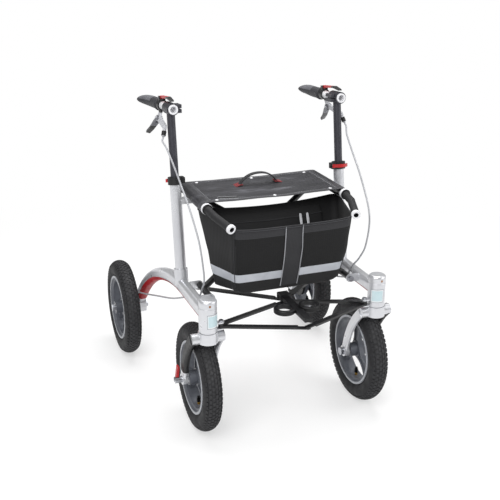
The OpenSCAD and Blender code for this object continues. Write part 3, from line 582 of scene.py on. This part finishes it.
def cableRoute(sideName):
    c = cableSetup
    end, aim = adjusterLine()
    place = leverFrame()
    route = [place @ (end + step * aim) for step in c["leadIn"]]
    route += [Vector(p) for p in c[sideName] + c["end"]]
    x, y, z = c["plate"]
    out = math.radians(c["plateAngle"])
    route += [Vector((x, y + r * math.cos(out), z + r * math.sin(out))) for r in c["leadOut"]]
    points = [curvePoint(route, k / c["steps"]) for k in range(c["steps"] + 1)]
    return [Vector((sides[sideName] * p.x, p.y, p.z)) for p in points]


def makeCables():
    for sideName, side in sides.items():
        points = cableRoute(sideName)
        cable = paint(tube(f"{sideName}BrakeCable", points, cableSetup["radius"], 3), sheath)
        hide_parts(f"{sideName}_cable")
        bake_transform(cable)


makeCables()

# tyres: a turned casing with rows of tread blocks
tyreSetup = {
    "radius": 150, "section": 27.5, "inner": 105.5, "bead": 17.5, "casingDrop": 1.6, "lip": (3.2, 2.6),
    "arc": 134, "arcSteps": 22, "facets": 96, "wall": 3, "blocks": 66, "rows": (-20, -12, -4, 4, 12, 20),
    "block": (2.4, 9.6, 6.0), "blockSink": 1.0,
}


def makeTreadRow(row, across, mid):
    t = tyreSetup
    count = t["blocks"]
    a = math.asin(across / t["section"])
    reach = mid + t["section"] * math.cos(a) - t["blockSink"]
    block = start(f"treadBlock{row}", bpy.ops.mesh.primitive_cube_add, size=1)
    block.scale = [size * mm for size in t["block"]]
    place = turn(360 / count * (0.5 if row % 2 else 0), "Z")
    settle(block, place @ Matrix.Translation((reach * mm, 0, across * mm)) @ turn(-math.degrees(a), "Y"))
    editAll(block)
    bpy.ops.mesh.spin(steps=count - 1, dupli=True, center=(0, 0, 0), axis=(0, 0, 1),
                      angle=math.tau * (count - 1) / count)
    leaveEdit()
    return block


def makeTyre():
    t = tyreSetup
    mid = t["radius"] - t["section"]
    section = t["section"] - t["casingDrop"]
    lipRadius, lipWidth = t["inner"] - t["lip"][0], t["bead"] + t["lip"][1]
    arc, steps = t["arc"], t["arcSteps"]
    profile = [(lipRadius, -lipWidth)]
    for k in range(steps + 1):
        a = math.radians(-arc + 2 * arc * k / steps)
        profile.append((mid + section * math.cos(a), section * math.sin(a)))
    profile.append((lipRadius, lipWidth))
    casing = dropCaps(turned("tyreModel", profile, t["facets"]))
    thicken(casing, t["wall"], -1)
    blocks = [makeTreadRow(row, across, mid) for row, across in enumerate(t["rows"])]
    pick(casing)
    for block in blocks:
        block.select_set(True)
    bpy.ops.object.join()
    return smooth(newest("tyreModel"), 35)


def makeTyres():
    model = makeTyre()
    for sideName in sides:
        for end in ("front", "rear"):
            centre, name = wheelPlace(sideName, end), f"{sideName}{end.title()}Tyre"
            tyre = copyOf(model, name, inMetres(Matrix.Translation(centre)) @ turn(90, "Y"))
            paint(tyre, tyreFinish(name, centre))
            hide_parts(f"{sideName}_{end}_tyre")
            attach(tyre, f"{sideName}_{end}_wheel")
    bpy.data.objects.remove(model)


makeTyres()
print("tyres done")

# red lining under each arch
arch = {
    "radius": 495, "centreY": -120, "centreZ": -123, "splay": 3.7, "halfWidth": 15, "halfHeight": 18,
    "corner": 12, "proud": 0.7, "thick": 1.0, "columns": 14, "cut": 42, "cutFrom": 4, "cutOver": 22,
    "from": -205, "straightStep": 17, "straightCount": 12, "bendStep": 2, "bendCount": 25,
}


def archPoint(s, outward, across):
    # s runs along the arch: the straight part first, then degrees round the bend
    reach = arch["radius"] + outward
    if s <= 0:
        return Vector((walker["sideX"] + across, arch["centreY"] + s, arch["centreZ"] + reach))
    a = math.radians(s)
    flat = Vector((across, reach * math.sin(a), arch["centreZ"] + reach * math.cos(a)))
    spread = turn(-arch["splay"], "Z") @ Vector((flat.x, flat.y, 0))
    return Vector((walker["sideX"] + spread.x, arch["centreY"] + spread.y, flat.z))


def liningSpot(s, j):
    # half of the columns go down one side of the arch, half up the other
    w, h, r, proud = (arch[k] for k in ("halfWidth", "halfHeight", "corner", "proud"))
    cut = arch["cut"] * (1 - min(max((s - arch["cutFrom"]) / arch["cutOver"], 0), 1))
    half = arch["columns"] // 2
    side, share = (-1, j) if j < half else (1, arch["columns"] - 1 - j)
    a = math.radians(cut + (90 - cut) * share / (half - 1))
    across = side * (w - r + (r + proud) * math.cos(a))
    return archPoint(s, -(h - r) - (r + proud) * math.sin(a), across)


def makeArchLining():
    stations = [arch["from"] + arch["straightStep"] * k for k in range(arch["straightCount"])]
    stations += [arch["bendStep"] * (k + 1) for k in range(arch["bendCount"])]
    lining = slab("rightArchLining", len(stations) - 1, arch["columns"] - 1,
                  lambda i, j: liningSpot(stations[i], j), arch["thick"])
    smooth(paint(lining, liningRed), 50)
    pairUp(lining, "ArchLining", "side")


makeArchLining()
print("arch lining done")

# seat: cloth stretched between the rails, with hems, studs and a carry strap
seatSetup = {
    "wrap": 13.6, "wrapSteps": 10, "wrapTo": -150, "notchTo": -4, "notch": (-112, -8), "thick": 2.0, "sag": 5,
    "hem": 14, "frontHemRise": 0.9, "sideHemRise": 0.8, "sideHem": (180, 191), "front": -203, "back": 3,
    "rows": (-203, -201.6, -190, -188.6, -170, -150, -130, -114, -112, -96, -80, -64, -48, -32, -14, -10, -6,
             -2.6, 1.8, 3),
    "edgeColumns": (-190, -181, -179.6), "columnFrom": -168, "columnStep": 14, "columnCount": 25,
    "studs": (-165, 0, 165), "studRows": (-190, -14), "studRise": 1.2,
    "studProfile": [(4.2, 0), (4.7, 0.7), (4.5, 1.5), (3.4, 2.2), (1.8, 2.5), (0.2, 2.6)],
}


def seatHeight(x, y):
    # the sag between the rails, with two soft ripples that die out at them
    s, half = seatSetup, walker["railX"]
    dip = s["sag"] * (1 - (x / half) ** 2)
    dip *= 0.6 + 0.4 * math.sin(math.pi * (y - s["front"]) / (s["back"] - s["front"]))
    ripple = 0.7 * math.sin(x * 0.041 + 1.3 * math.sin(y * 0.03)) * math.sin(y * 0.027 + 0.6)
    ripple += 0.5 * math.sin(y * 0.06 + x * 0.012)
    return walker["railZ"] + s["wrap"] - dip - ripple * max(0, 1 - (x / half) ** 4)


def inSeatHem(y):
    s = seatSetup
    return y < s["front"] + s["hem"] or y > s["back"] - s["hem"] + 2


def onSeat(piece):
    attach(piece, "seat")
    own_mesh(piece)


def makeSeat():
    s, rail = seatSetup, walker["railX"]
    r, ys, steps = s["wrap"], s["rows"], s["wrapSteps"]
    edge = list(s["edgeColumns"])
    inner = edge + [s["columnFrom"] + s["columnStep"] * k for k in range(s["columnCount"])]
    inner += [-x for x in reversed(edge)]
    last = 2 * steps + 1 + len(inner)

    def spot(i, j):
        y = ys[j]
        if i <= steps or i >= steps + 1 + len(inner):
            inNotch = s["notch"][0] <= y <= s["notch"][1]
            deep = s["notchTo"] if inNotch else s["wrapTo"]
            side, k = (-1, i) if i <= steps else (1, last - i)
            a = math.radians(deep + (90 - deep) * k / steps)
            return (side * (rail + r * math.cos(a)), y, walker["railZ"] + r * math.sin(a))
        x = inner[i - steps - 1]
        raised = s["frontHemRise"] if inSeatHem(y) else 0
        if abs(x) > s["sideHem"][0]:
            raised = max(raised, s["sideHemRise"])
        return (x, y, seatHeight(x, y) + raised)

    seat = tidyNormals(draped("seatCloth", last, len(ys) - 1, spot))
    thicken(seat, s["thick"], 0)
    paint(seat, seatTop, hemCloth)
    for face in seat.data.polygons:
        x, y = face.center.x / mm, face.center.y / mm
        sideHem = s["sideHem"][0] < abs(x) < s["sideHem"][1]
        face.material_index = 1 if sideHem or inSeatHem(y) else 0
    smooth(seat, 50)
    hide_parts("seat_sling")
    onSeat(seat)


def makeStuds():
    model = turned("studModel", seatSetup["studProfile"], 24)
    for row, y in enumerate(seatSetup["studRows"]):
        for k, x in enumerate(seatSetup["studs"]):
            place = Matrix.Translation((x, y, seatHeight(x, y) + seatSetup["studRise"]))
            stud = copyOf(model, f"seatStud{row}{k}", inMetres(place))
            onSeat(smooth(paint(stud, ringWhite), 50))
    bpy.data.objects.remove(model)


# rows of stitches: a place across, the axis they run along and their ends
stitchSetup = {
    "rows": ((-190, "X", -176, 176), (-9.6, "X", -176, 176),
             (-181.6, "Y", -186, -12), (181.6, "Y", -186, -12)),
    "pitch": 5.2, "size": (3.2, 0.9, 0.7), "edge": 0.25, "rise": 2.1,
}


def makeStitches():
    s = stitchSetup
    length, width, height = (size * mm for size in s["size"])

    def lay(way, along, across, up=0):
        return (along, across, up) if way == "X" else (across, along, up)

    for k, (place, way, near, far) in enumerate(s["rows"]):
        row = start(f"seatStitch{k}", bpy.ops.mesh.primitive_cube_add, size=1)
        row.scale = lay(way, length, width, height)
        settle(row, inMetres(Matrix.Translation(lay(way, near, place))))
        edgeRound(row, s["edge"], 1)
        repeat = row.modifiers.new("repeat", "ARRAY")
        repeat.use_relative_offset, repeat.use_constant_offset = False, True
        repeat.constant_offset_displace = lay(way, s["pitch"] * mm, 0)
        repeat.count = int((far - near) / s["pitch"])
        applyAll(row)
        for v in row.data.vertices:
            v.co.z += (seatHeight(v.co.x / mm, v.co.y / mm) + s["rise"]) * mm
        onSeat(smooth(paint(row, piping), 40))


labelSetup = {"middle": (-128, -172), "half": (27, 11), "turn": -9, "rise": 1.6, "thick": 0.8, "border": 1.6}


def makeLabel():
    x, y = labelSetup["middle"]
    halfX, halfY = labelSetup["half"]
    a = math.radians(labelSetup["turn"])

    def spot(i, j):
        u, v = halfX * (i / 8 - 1), halfY * (j / 5 - 1)
        px, py = x + u * math.cos(a) - v * math.sin(a), y + u * math.sin(a) + v * math.cos(a)
        return (px, py, seatHeight(px, py) + labelSetup["rise"])

    label = slab("seatLabel", 16, 10, spot, labelSetup["thick"])
    paint(label, bagCloth, piping)
    for face in label.data.polygons:
        p = Matrix.Rotation(-a, 2) @ Vector((face.center.x / mm - x, face.center.y / mm - y))
        edge = min(halfX - abs(p.x), halfY - abs(p.y))
        face.material_index = 1 if edge < labelSetup["border"] else 0
    onSeat(smooth(label, 40))


strapSetup = {
    "half": 60, "y": -65, "width": 20, "rise": 33, "thick": 3.2, "steps": 28, "lift": 2.6, "bow": 2.3,
    "ease": 0.18, "roll": 2.2, "waist": 0.18, "tab": 22, "tabStart": -12, "tabHalf": 12, "tabLift": 5.2,
    "tabFall": 1.2, "tabThick": 2.0, "tabEdge": 0.5,
}


def makeStrap():
    s = strapSetup
    half, w = s["half"], s["width"] / 2
    across = [-w, -w * 0.6, 0, w * 0.6, w]

    def spot(i, j):
        t = -1 + 2 * i / s["steps"]
        x = t * half
        flat = min(1, (1 - abs(t)) / s["ease"])
        lift = s["rise"] * (1 - abs(t) ** s["bow"]) * (flat * flat * (3 - 2 * flat))
        roll = s["roll"] * (across[j] / w) ** 2 * flat
        y = s["y"] + across[j] * (1 - s["waist"] * flat)
        return (x, y, seatHeight(x, s["y"]) + s["lift"] + lift - roll)

    strap = soften(slab("carryStrap", s["steps"], len(across) - 1, spot, s["thick"]))
    smooth(paint(strap, webbing), 50)
    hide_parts("carry_strap")
    onSeat(strap)
    for sideName, side in sides.items():
        def tabSpot(i, j, side=side):
            x = side * (half + s["tabStart"] + s["tab"] * i / 6)
            y = s["y"] + s["tabHalf"] * (j / 2 - 1)
            lift = s["tabLift"] - s["tabFall"] * max(i - 2, 0)
            return (x, y, seatHeight(x, y) + lift)
        tab = edgeRound(slab(f"{sideName}StrapEnd", 6, 4, tabSpot, s["tabThick"]), s["tabEdge"])
        onSeat(smooth(paint(tab, redWeb), 40))


makeSeat()
makeStuds()
makeStitches()
makeLabel()
makeStrap()
print("seat done")

# basket: one cloth shell hung between the arms
bagSetup = {
    "frontX": 171, "rearX": 207, "frontY": -327, "rearY": -140, "frontZ": 582.12, "slope": 4.5,
    "footX": (154, 186), "footY": (-293, -212), "footZ": 406, "footSlope": 0.06, "midY": -252.5,
    "corner": 20, "belly": 5, "lift": 5, "rearDip": (14, 4), "frontDip": 2.5, "edgeShare": 6,
    "levels": [0, 0.03, 0.1, 0.145, 0.16, 0.25, 0.35, 0.45, 0.55, 0.65, 0.72, 0.745, 0.8, 0.855, 0.87, 0.93,
               1],
    "bottom": ((0.06, 6), (0.2, 12), (0.45, 16), (0.75, 18.5), (0.9996, 19)),
    "band": 0.15, "tape": (0.73, 0.86), "tapeBack": -215, "strip": 24, "thick": 2.2, "merge": 0.0002,
    "stripColumn": 4, "frontColumns": 15, "seamColumn": 17, "seamOut": 0.8,
    "foldAnchor": 181, "foldKeep": 0.385,
}


def onBag(piece):
    onSeat(piece)


def mix(a, b, t):
    return a + (b - a) * t


def cornerArc(x, y, r, angles):
    return [(x + r * math.cos(math.radians(a)), y + r * math.sin(math.radians(a))) for a in angles]


def bagRing(t):
    # one level of the wall, from the hem at 0 to the foot at 1
    b = bagSetup
    swell = math.sin(math.pi * t)
    belly = b["belly"] * swell
    front, back = mix(b["frontY"], b["footY"][0], t) - belly, mix(b["rearY"], b["footY"][1], t)
    xFront, xBack = mix(b["frontX"], b["footX"][0], t) + belly / 2, mix(b["rearX"], b["footX"][1], t)
    r, n = b["corner"], b["stripColumn"]
    half = []
    for k in range(b["frontColumns"]):
        past = (k - n) / (b["frontColumns"] - 1 - n)
        x = b["strip"] * k / n if k <= n else mix(b["strip"], xFront - r, past)
        half.append((x, front - belly * 0.5 * (1 - (x / xFront) ** 2)))
    half += cornerArc(xFront - r, front + r, r, range(-75, 1, 15))
    for k in range(1, 10):
        u = k / 10
        bulge = belly * 0.4 * math.sin(math.pi * u)
        half.append((mix(xFront, xBack, u) + bulge, mix(front + r, back - r, u)))
    half += cornerArc(xBack - r, back - r, r, range(0, 91, 15))
    half += [((xBack - r) * (1 - k / 12), back) for k in range(1, 13)]
    points = []
    for x, y in half + [(-x, y) for x, y in half[-2:0:-1]]:
        top = b["frontZ"] + math.tan(math.radians(b["slope"])) * (y - b["frontY"])
        edge = max(0, 1 - t * b["edgeShare"])
        if y > back - 8:
            top -= b["rearDip"][0] * edge * (1 - (x / xBack) ** 2) + b["rearDip"][1] * edge
        if y < front + 6:
            top -= b["frontDip"] * edge * (1 - (x / xFront) ** 2)
        top += b["lift"] * min(abs(x) / b["frontX"], 1) ** 6 * min(max((-200 - y) / 100, 0), 1)
        z = mix(top, b["footZ"] + b["footSlope"] * (y - b["midY"]), t)
        crease = 1.6 * math.sin(x * 0.055 + z * 0.03) * math.sin(z * 0.045 + x * 0.012) * swell
        crease += 0.9 * math.sin(y * 0.09 + z * 0.06) * swell
        points.append(Vector((x, y, z)) + Vector((x, y - b["midY"], 0)).normalized() * crease)
    return points


# numbers of the bag's finishes, in the order they are painted on
bagZones = {"plain": 0, "band": 1, "mesh": 2, "tape": 3}


def bagZone(x, y, t):
    b = bagSetup
    inFront = y < mix(b["frontY"], b["footY"][0], t) + 12
    atFront = inFront and abs(x) < mix(b["frontX"], b["footX"][0], t) - 7
    if atFront and (abs(x) < b["strip"] or t < b["band"]):
        return bagZones["band"]
    if b["tape"][0] < t < b["tape"][1] and y < b["tapeBack"]:
        return bagZones["tape"]
    if atFront and t < b["tape"][0]:
        return bagZones["mesh"]
    return bagZones["plain"]


def makeBasket():
    levels = bagSetup["levels"]
    wall = [bagRing(t) for t in levels]
    count = len(wall[0])
    rings, midY = list(wall), bagSetup["midY"]
    for shrink, drop in bagSetup["bottom"]:
        rings.append([Vector((p.x * (1 - shrink), mix(p.y, midY, shrink), p.z - drop)) for p in wall[-1]])
    bag = draped("basketCloth", count, len(rings) - 1, lambda i, j: rings[j][i % count])
    tidyNormals(bag, bagSetup["merge"])
    paint(bag, bagCloth, bagBand, bagMesh, reflective)
    for face in bag.data.polygons:
        row = face.index // count
        if row < len(levels) - 1:
            middle = (levels[row] + levels[row + 1]) / 2
            face.material_index = bagZone(face.center.x / mm, face.center.y / mm, middle)
    thicken(bag, bagSetup["thick"], -1)
    smooth(bag, 50)
    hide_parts("basket")
    onBag(bag)
    return wall


def bagCord(name, points, material, radius, shift=(0, 0, 0), closed=False):
    line = [p + Vector(shift) for p in points]
    onBag(paint(tube(name, line, radius, 2, closed), material))


def makeBasketTrim(wall):
    hem, count = wall[0], len(wall[0])
    strip, reach, seam = (bagSetup[k] for k in ("stripColumn", "frontColumns", "seamColumn"))
    for sideName, column in (("right", strip), ("left", count - strip)):
        line = [ring[column] for ring in wall]
        bagCord(f"{sideName}StripPiping", line, piping, 1.3, (0, -1.4, 0))
    bagCord("basketBinding", hem, bagBand, radius=2.0, shift=(0, 0, 0.6), closed=True)
    front = [hem[i % count] for i in range(-reach, reach + 1)]
    bagCord("basketFrontPiping", front, hemCloth, radius=0.9, shift=(0, -2.0, -2.5))
    for sideName, column in (("left", count - seam), ("right", seam)):
        line = []
        for p in (ring[column] for ring in wall):
            out = (p - Vector((0, bagSetup["midY"], p.z))).normalized()
            line.append(p + out * bagSetup["seamOut"])
        bagCord(f"{sideName}CornerSeam", line, bagBand, radius=0.9)


pocketSetup = {
    "half": 150, "columns": 20, "heights": (575, 560, 557, 554, 551, 530, 505, 480, 455), "dip": 6,
    "depth": 9, "bulge": 5, "thick": 1.6, "zipRow": 3, "zipRadius": 1.5, "wallTop": 596, "wallHeight": 186,
    "pulls": (84, 105), "pullTop": 558, "pullLength": 34, "pullHalf": 4.4, "pullDepth": 18.5,
    "pullThick": 2.2,
}


def makePocket():
    # pocket sewn on the inside of the rear wall, with a zip and its pulls
    p = pocketSetup
    last = len(p["heights"]) - 1

    def wallY(z):
        share = min(1, max(0, (p["wallTop"] - z) / p["wallHeight"]))
        return mix(bagSetup["rearY"], bagSetup["footY"][1], share)

    def spot(i, j):
        x = p["half"] * (2 * i / p["columns"] - 1)
        z = p["heights"][j] - p["dip"] * (1 - (x / p["half"]) ** 2)
        depth = p["depth"] + p["bulge"] * math.sin(math.pi * j / last) + 1.5 * math.sin(x * 0.06 + z * 0.05)
        return (x, wallY(z) - depth, z)

    pocket = soften(slab("basketPocket", p["columns"], last, spot, p["thick"]))
    onBag(smooth(paint(pocket, bagCloth), 50))
    zipLine = [Vector(spot(i, p["zipRow"])) + Vector((0, -1.6, 0)) for i in range(p["columns"] + 1)]
    onBag(paint(tube("pocketZip", zipLine, p["zipRadius"], 2), bagBand))
    for k, x in enumerate(p["pulls"]):
        def pullSpot(i, j, x=x):
            w = p["pullHalf"] - abs(j - 3) / 3
            z = p["pullTop"] - p["pullLength"] * j / 6
            return (x + (i - 1) * w, wallY(z) - p["pullDepth"] - 0.6 * math.sin(math.pi * j / 6), z)

        pull = soften(slab(f"zipPull{k}", 2, 6, pullSpot, p["pullThick"]))
        onBag(smooth(paint(pull, zipTag), 50))


bagWall = makeBasket()
makeBasketTrim(bagWall)
makePocket()
print("basket done")

# grips with a flat palm rest: along the handle, half width, half height, and the middle's shift in both
gripSetup = {
    "rings": [(98, 14.5, 14.5, 0, 0), (98.6, 17.6, 17.6, 0, 0), (104, 18.4, 18.4, 0, 0),
              (108, 17.8, 17.8, 0, 0), (111, 16.2, 16.2, 0, 0), (130, 15.8, 15.8, 0.2, 0),
              (152, 16.2, 16.0, 1.2, 0), (176, 18.2, 15.4, 3, 0.8), (198, 21.5, 14.2, 5.6, 1.4),
              (218, 24.4, 12.8, 8, 1.8), (232, 25.2, 11.4, 9, 2.0), (241, 23, 9.6, 8.8, 2.0),
              (245, 18, 7, 8.4, 2.0), (246, 8, 3.4, 8.2, 2.0)],
    "facets": 28, "palmFrom": 150, "palmHeight": 5, "palmSlope": 0.02,
}


def makeGrip():
    g = gripSetup
    grip = start("rightGripCover", bpy.ops.mesh.primitive_circle_add, vertices=g["facets"], radius=1,
                 fill_type="NGON")
    editAll(grip)
    for _ in g["rings"][1:]:
        bpy.ops.mesh.extrude_region_move(TRANSFORM_OT_translate={"value": (0, 0, 1)})
    leaveEdit()
    for v in grip.data.vertices:
        along, rx, rz, cx, cz = g["rings"][round(v.co.z)]
        v.co = Vector((cx + rx * v.co.x, along, cz + rz * v.co.y)) * mm
    tidyNormals(grip)
    soften(grip)
    place = inMetres(handleFrame())
    settle(grip, place)
    paint(grip, gripDark, gripPale)
    inverse = place.inverted()
    for face in grip.data.polygons:
        local = inverse @ face.center / mm
        past = local.y - g["palmFrom"]
        palm = past > 0 and local.z > g["palmHeight"] + g["palmSlope"] * past
        face.material_index = 1 if palm else 0
    smooth(grip, 60)
    pairUp(grip, "GripCover", "handle", "grip")


makeGrip()
print("grips done")

# ribbed barrel of each cable adjuster
adjusterSetup = {
    "profile": [(5.1, -15), (6.6, -14), (6.6, -11.5), (5.7, -11), (5.7, -10), (6.6, -9.5), (6.6, -7),
                (5.7, -6.5), (5.7, -5.5), (6.4, -5), (6.4, -2.4), (4.4, -1.2), (4.2, 0.4), (3.4, 0.4)],
}


def makeAdjusters():
    end, aim = adjusterLine()
    barrel = turned("rightAdjuster", adjusterSetup["profile"], 24, leverFrame() @ pointing(end, aim))
    smooth(paint(barrel, black), 35)
    pairUp(barrel, "Adjuster", "handle")


makeAdjusters()

# white end rings of the basket arms and the collars on the rails
armSetup = {
    "bend": (196, -258, 606.12), "tip": (175, -328, 591.12), "facets": 40, "wall": 0.6,
    "collar": [(14.1, 1), (14.8, 2), (14.8, 11), (14.1, 12)],
    "ring": [(12.05, -4.2), (12.4, -3.6), (12.6, 0), (12.3, 3.7), (11.6, 4.4), (8.4, 4.5), (6.7, 4.2)],
}


def makeArmRings():
    # the rails cross over: what sits on the right belongs to the left cross tube
    a = armSetup
    bend, tip = Vector(a["bend"]), Vector(a["tip"])
    end = pointing(tip, (tip - bend).normalized())
    ring = turned("rightArmRing", a["ring"], a["facets"], end)
    rail = Matrix.Translation((walker["railX"], walker["railFront"], walker["railZ"])) @ turn(90, "X")
    collar = turned("rightArmCollar", a["collar"], a["facets"], rail)
    for model, label in ((ring, "ArmRing"), (collar, "ArmCollar")):
        thicken(dropCaps(model), a["wall"], -1)
        smooth(paint(model, ringWhite), 40)
        twin = otherSide(model, f"left{label}")
        for piece, body in ((model, "left_cross"), (twin, "right_cross")):
            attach(piece, body)


makeArmRings()
print("arm rings done")

# plain patches in place of the stickers on the head tubes, and a small plug above each
patchSetup = {"radius": 24.25, "low": 342, "high": 380, "spread": 44, "aim": -112, "steps": (36, 38),
              "line": 1, "border": 3.5, "degree": 0.42, "thick": 0.3}
plugSetup = {"turn": 26, "radius": 24.2, "dome": 0.7, "width": 5.2, "low": 401, "height": 6, "thick": 0.8}


def roundHead(radius, angle, z):
    x, y = walker["head"]
    return (x + radius * math.cos(angle), y + radius * math.sin(angle), z)


def makePatches():
    p = patchSetup
    columns, rows = p["steps"]

    def spot(i, j):
        a = math.radians(p["aim"] + p["spread"] * (i / columns - 0.5) * 2)
        return roundHead(p["radius"], a, mix(p["low"], p["high"], j / rows))

    patch = tidyNormals(draped("rightHeadPatch", columns, rows, spot))
    paint(patch, moulded("patchBlue", "#cfe2e6", "#bcd5da", 0.35, 700, 0.05),
          moulded("patchBorder", "#eef0f1", "#e2e5e6", 0.35, 700, 0.05),
          moulded("patchEdge", "#6f7f85", "#5f6f75", 0.4, 700, 0.05))
    x, y = walker["head"]
    for face in patch.data.polygons:
        z = face.center.z / mm
        a = math.degrees(math.atan2(face.center.y / mm - y, face.center.x / mm - x))
        inside = min((p["spread"] - abs(a - p["aim"])) * p["degree"], z - p["low"], p["high"] - z)
        face.material_index = 2 if inside < p["line"] else 1 if inside < p["border"] else 0
    thicken(patch, p["thick"], 0)
    smooth(patch, 50)
    pairUp(patch, "HeadPatch", "side")


def makePlugs():
    p = plugSetup
    a = math.radians(patchSetup["aim"] + p["turn"])

    def spot(i, j):
        across = p["width"] * (i / 4 - 0.5)
        out = p["radius"] + p["dome"] * math.sin(math.pi * i / 4) * math.sin(math.pi * j / 4)
        return roundHead(out, a + across / 24, p["low"] + p["height"] * j / 4)

    plug = soften(slab("rightCapPlug", 4, 4, spot, p["thick"]))
    smooth(paint(plug, moulded("capPlug", "#a8764f", "#8f623f", 0.45, 700, 0.1)), 50)
    pairUp(plug, "CapPlug", "side")


makePatches()
makePlugs()

# floor, backdrop and soft light
roomSetup = {
    "floor": 40, "world": 0.26, "fade": (0.5, 1.0, 0.5, 2.0), "aim": (0, 0, 0.4),
    "lights": (("keyLight", (-1.8, -2.2, 2.8), 2.2, 88), ("fillLight", (2.4, -1.4, 1.8), 2.0, 36),
               ("topLight", (0.2, 0.6, 3.2), 2.6, 80)),
}


def makeFloor():
    # white to the camera and its reflections, and fading into the backdrop
    floor = start("studioFloor", bpy.ops.mesh.primitive_plane_add, size=roomSetup["floor"],
                  location=(0, 0, 0))
    f = Finish("studioFloor", "#f4f4f5", 0.9)
    path = f.add("ShaderNodeLightPath")
    seen = f.maths("MAXIMUM", path.outputs["Is Camera Ray"],
                   f.maths("MAXIMUM", path.outputs["Is Glossy Ray"], path.outputs["Is Transmission Ray"]))
    f.colour(f.mixColour(seen, "#e6e6e8", "#ffffff"))
    reach = f.length(f.axis("X"), f.axis("Y"))
    far = f.maths("MULTIPLY", f.spread(reach, *roomSetup["fade"]), seen)
    glow = f.add("ShaderNodeEmission")
    join = f.add("ShaderNodeMixShader", {0: far, 1: f.shader.outputs[0], 2: glow.outputs[0]})
    f.fill(f.nodes["Material Output"], {"Surface": join.outputs[0]})
    paint(floor, f.material)


def makeWorld():
    world = bpy.data.worlds.new("studioWorld")
    bpy.context.scene.world = world
    world.use_nodes = True
    nodes, links = world.node_tree.nodes, world.node_tree.links
    ground, bright = nodes["Background"], nodes.new("ShaderNodeBackground")
    for node, strength in ((ground, roomSetup["world"]), (bright, 1.0)):
        node.inputs["Color"].default_value = (1, 1, 1, 1)
        node.inputs["Strength"].default_value = strength
    ray = nodes.new("ShaderNodeLightPath")
    seen = nodes.new("ShaderNodeMath")
    seen.operation = "MAXIMUM"
    links.new(ray.outputs["Is Camera Ray"], seen.inputs[0])
    links.new(ray.outputs["Is Transmission Ray"], seen.inputs[1])
    blend = nodes.new("ShaderNodeMixShader")
    for index, node in enumerate((seen, ground, bright)):
        links.new(node.outputs[0], blend.inputs[index])
    links.new(blend.outputs[0], nodes["World Output"].inputs["Surface"])


def makeLights():
    for name, place, size, power in roomSetup["lights"]:
        data = bpy.data.lights.new(name, "AREA")
        data.energy, data.size = power, size
        lamp = bpy.data.objects.new(name, data)
        bpy.context.scene.collection.objects.link(lamp)
        lamp.location = place
        lamp.rotation_euler = (Vector(roomSetup["aim"]) - Vector(place)).to_track_quat("-Z", "Y").to_euler()


def makeRoom():
    makeFloor()
    makeWorld()
    makeLights()
    bpy.context.scene.view_settings.view_transform = "Standard"


makeRoom()
print("room done")
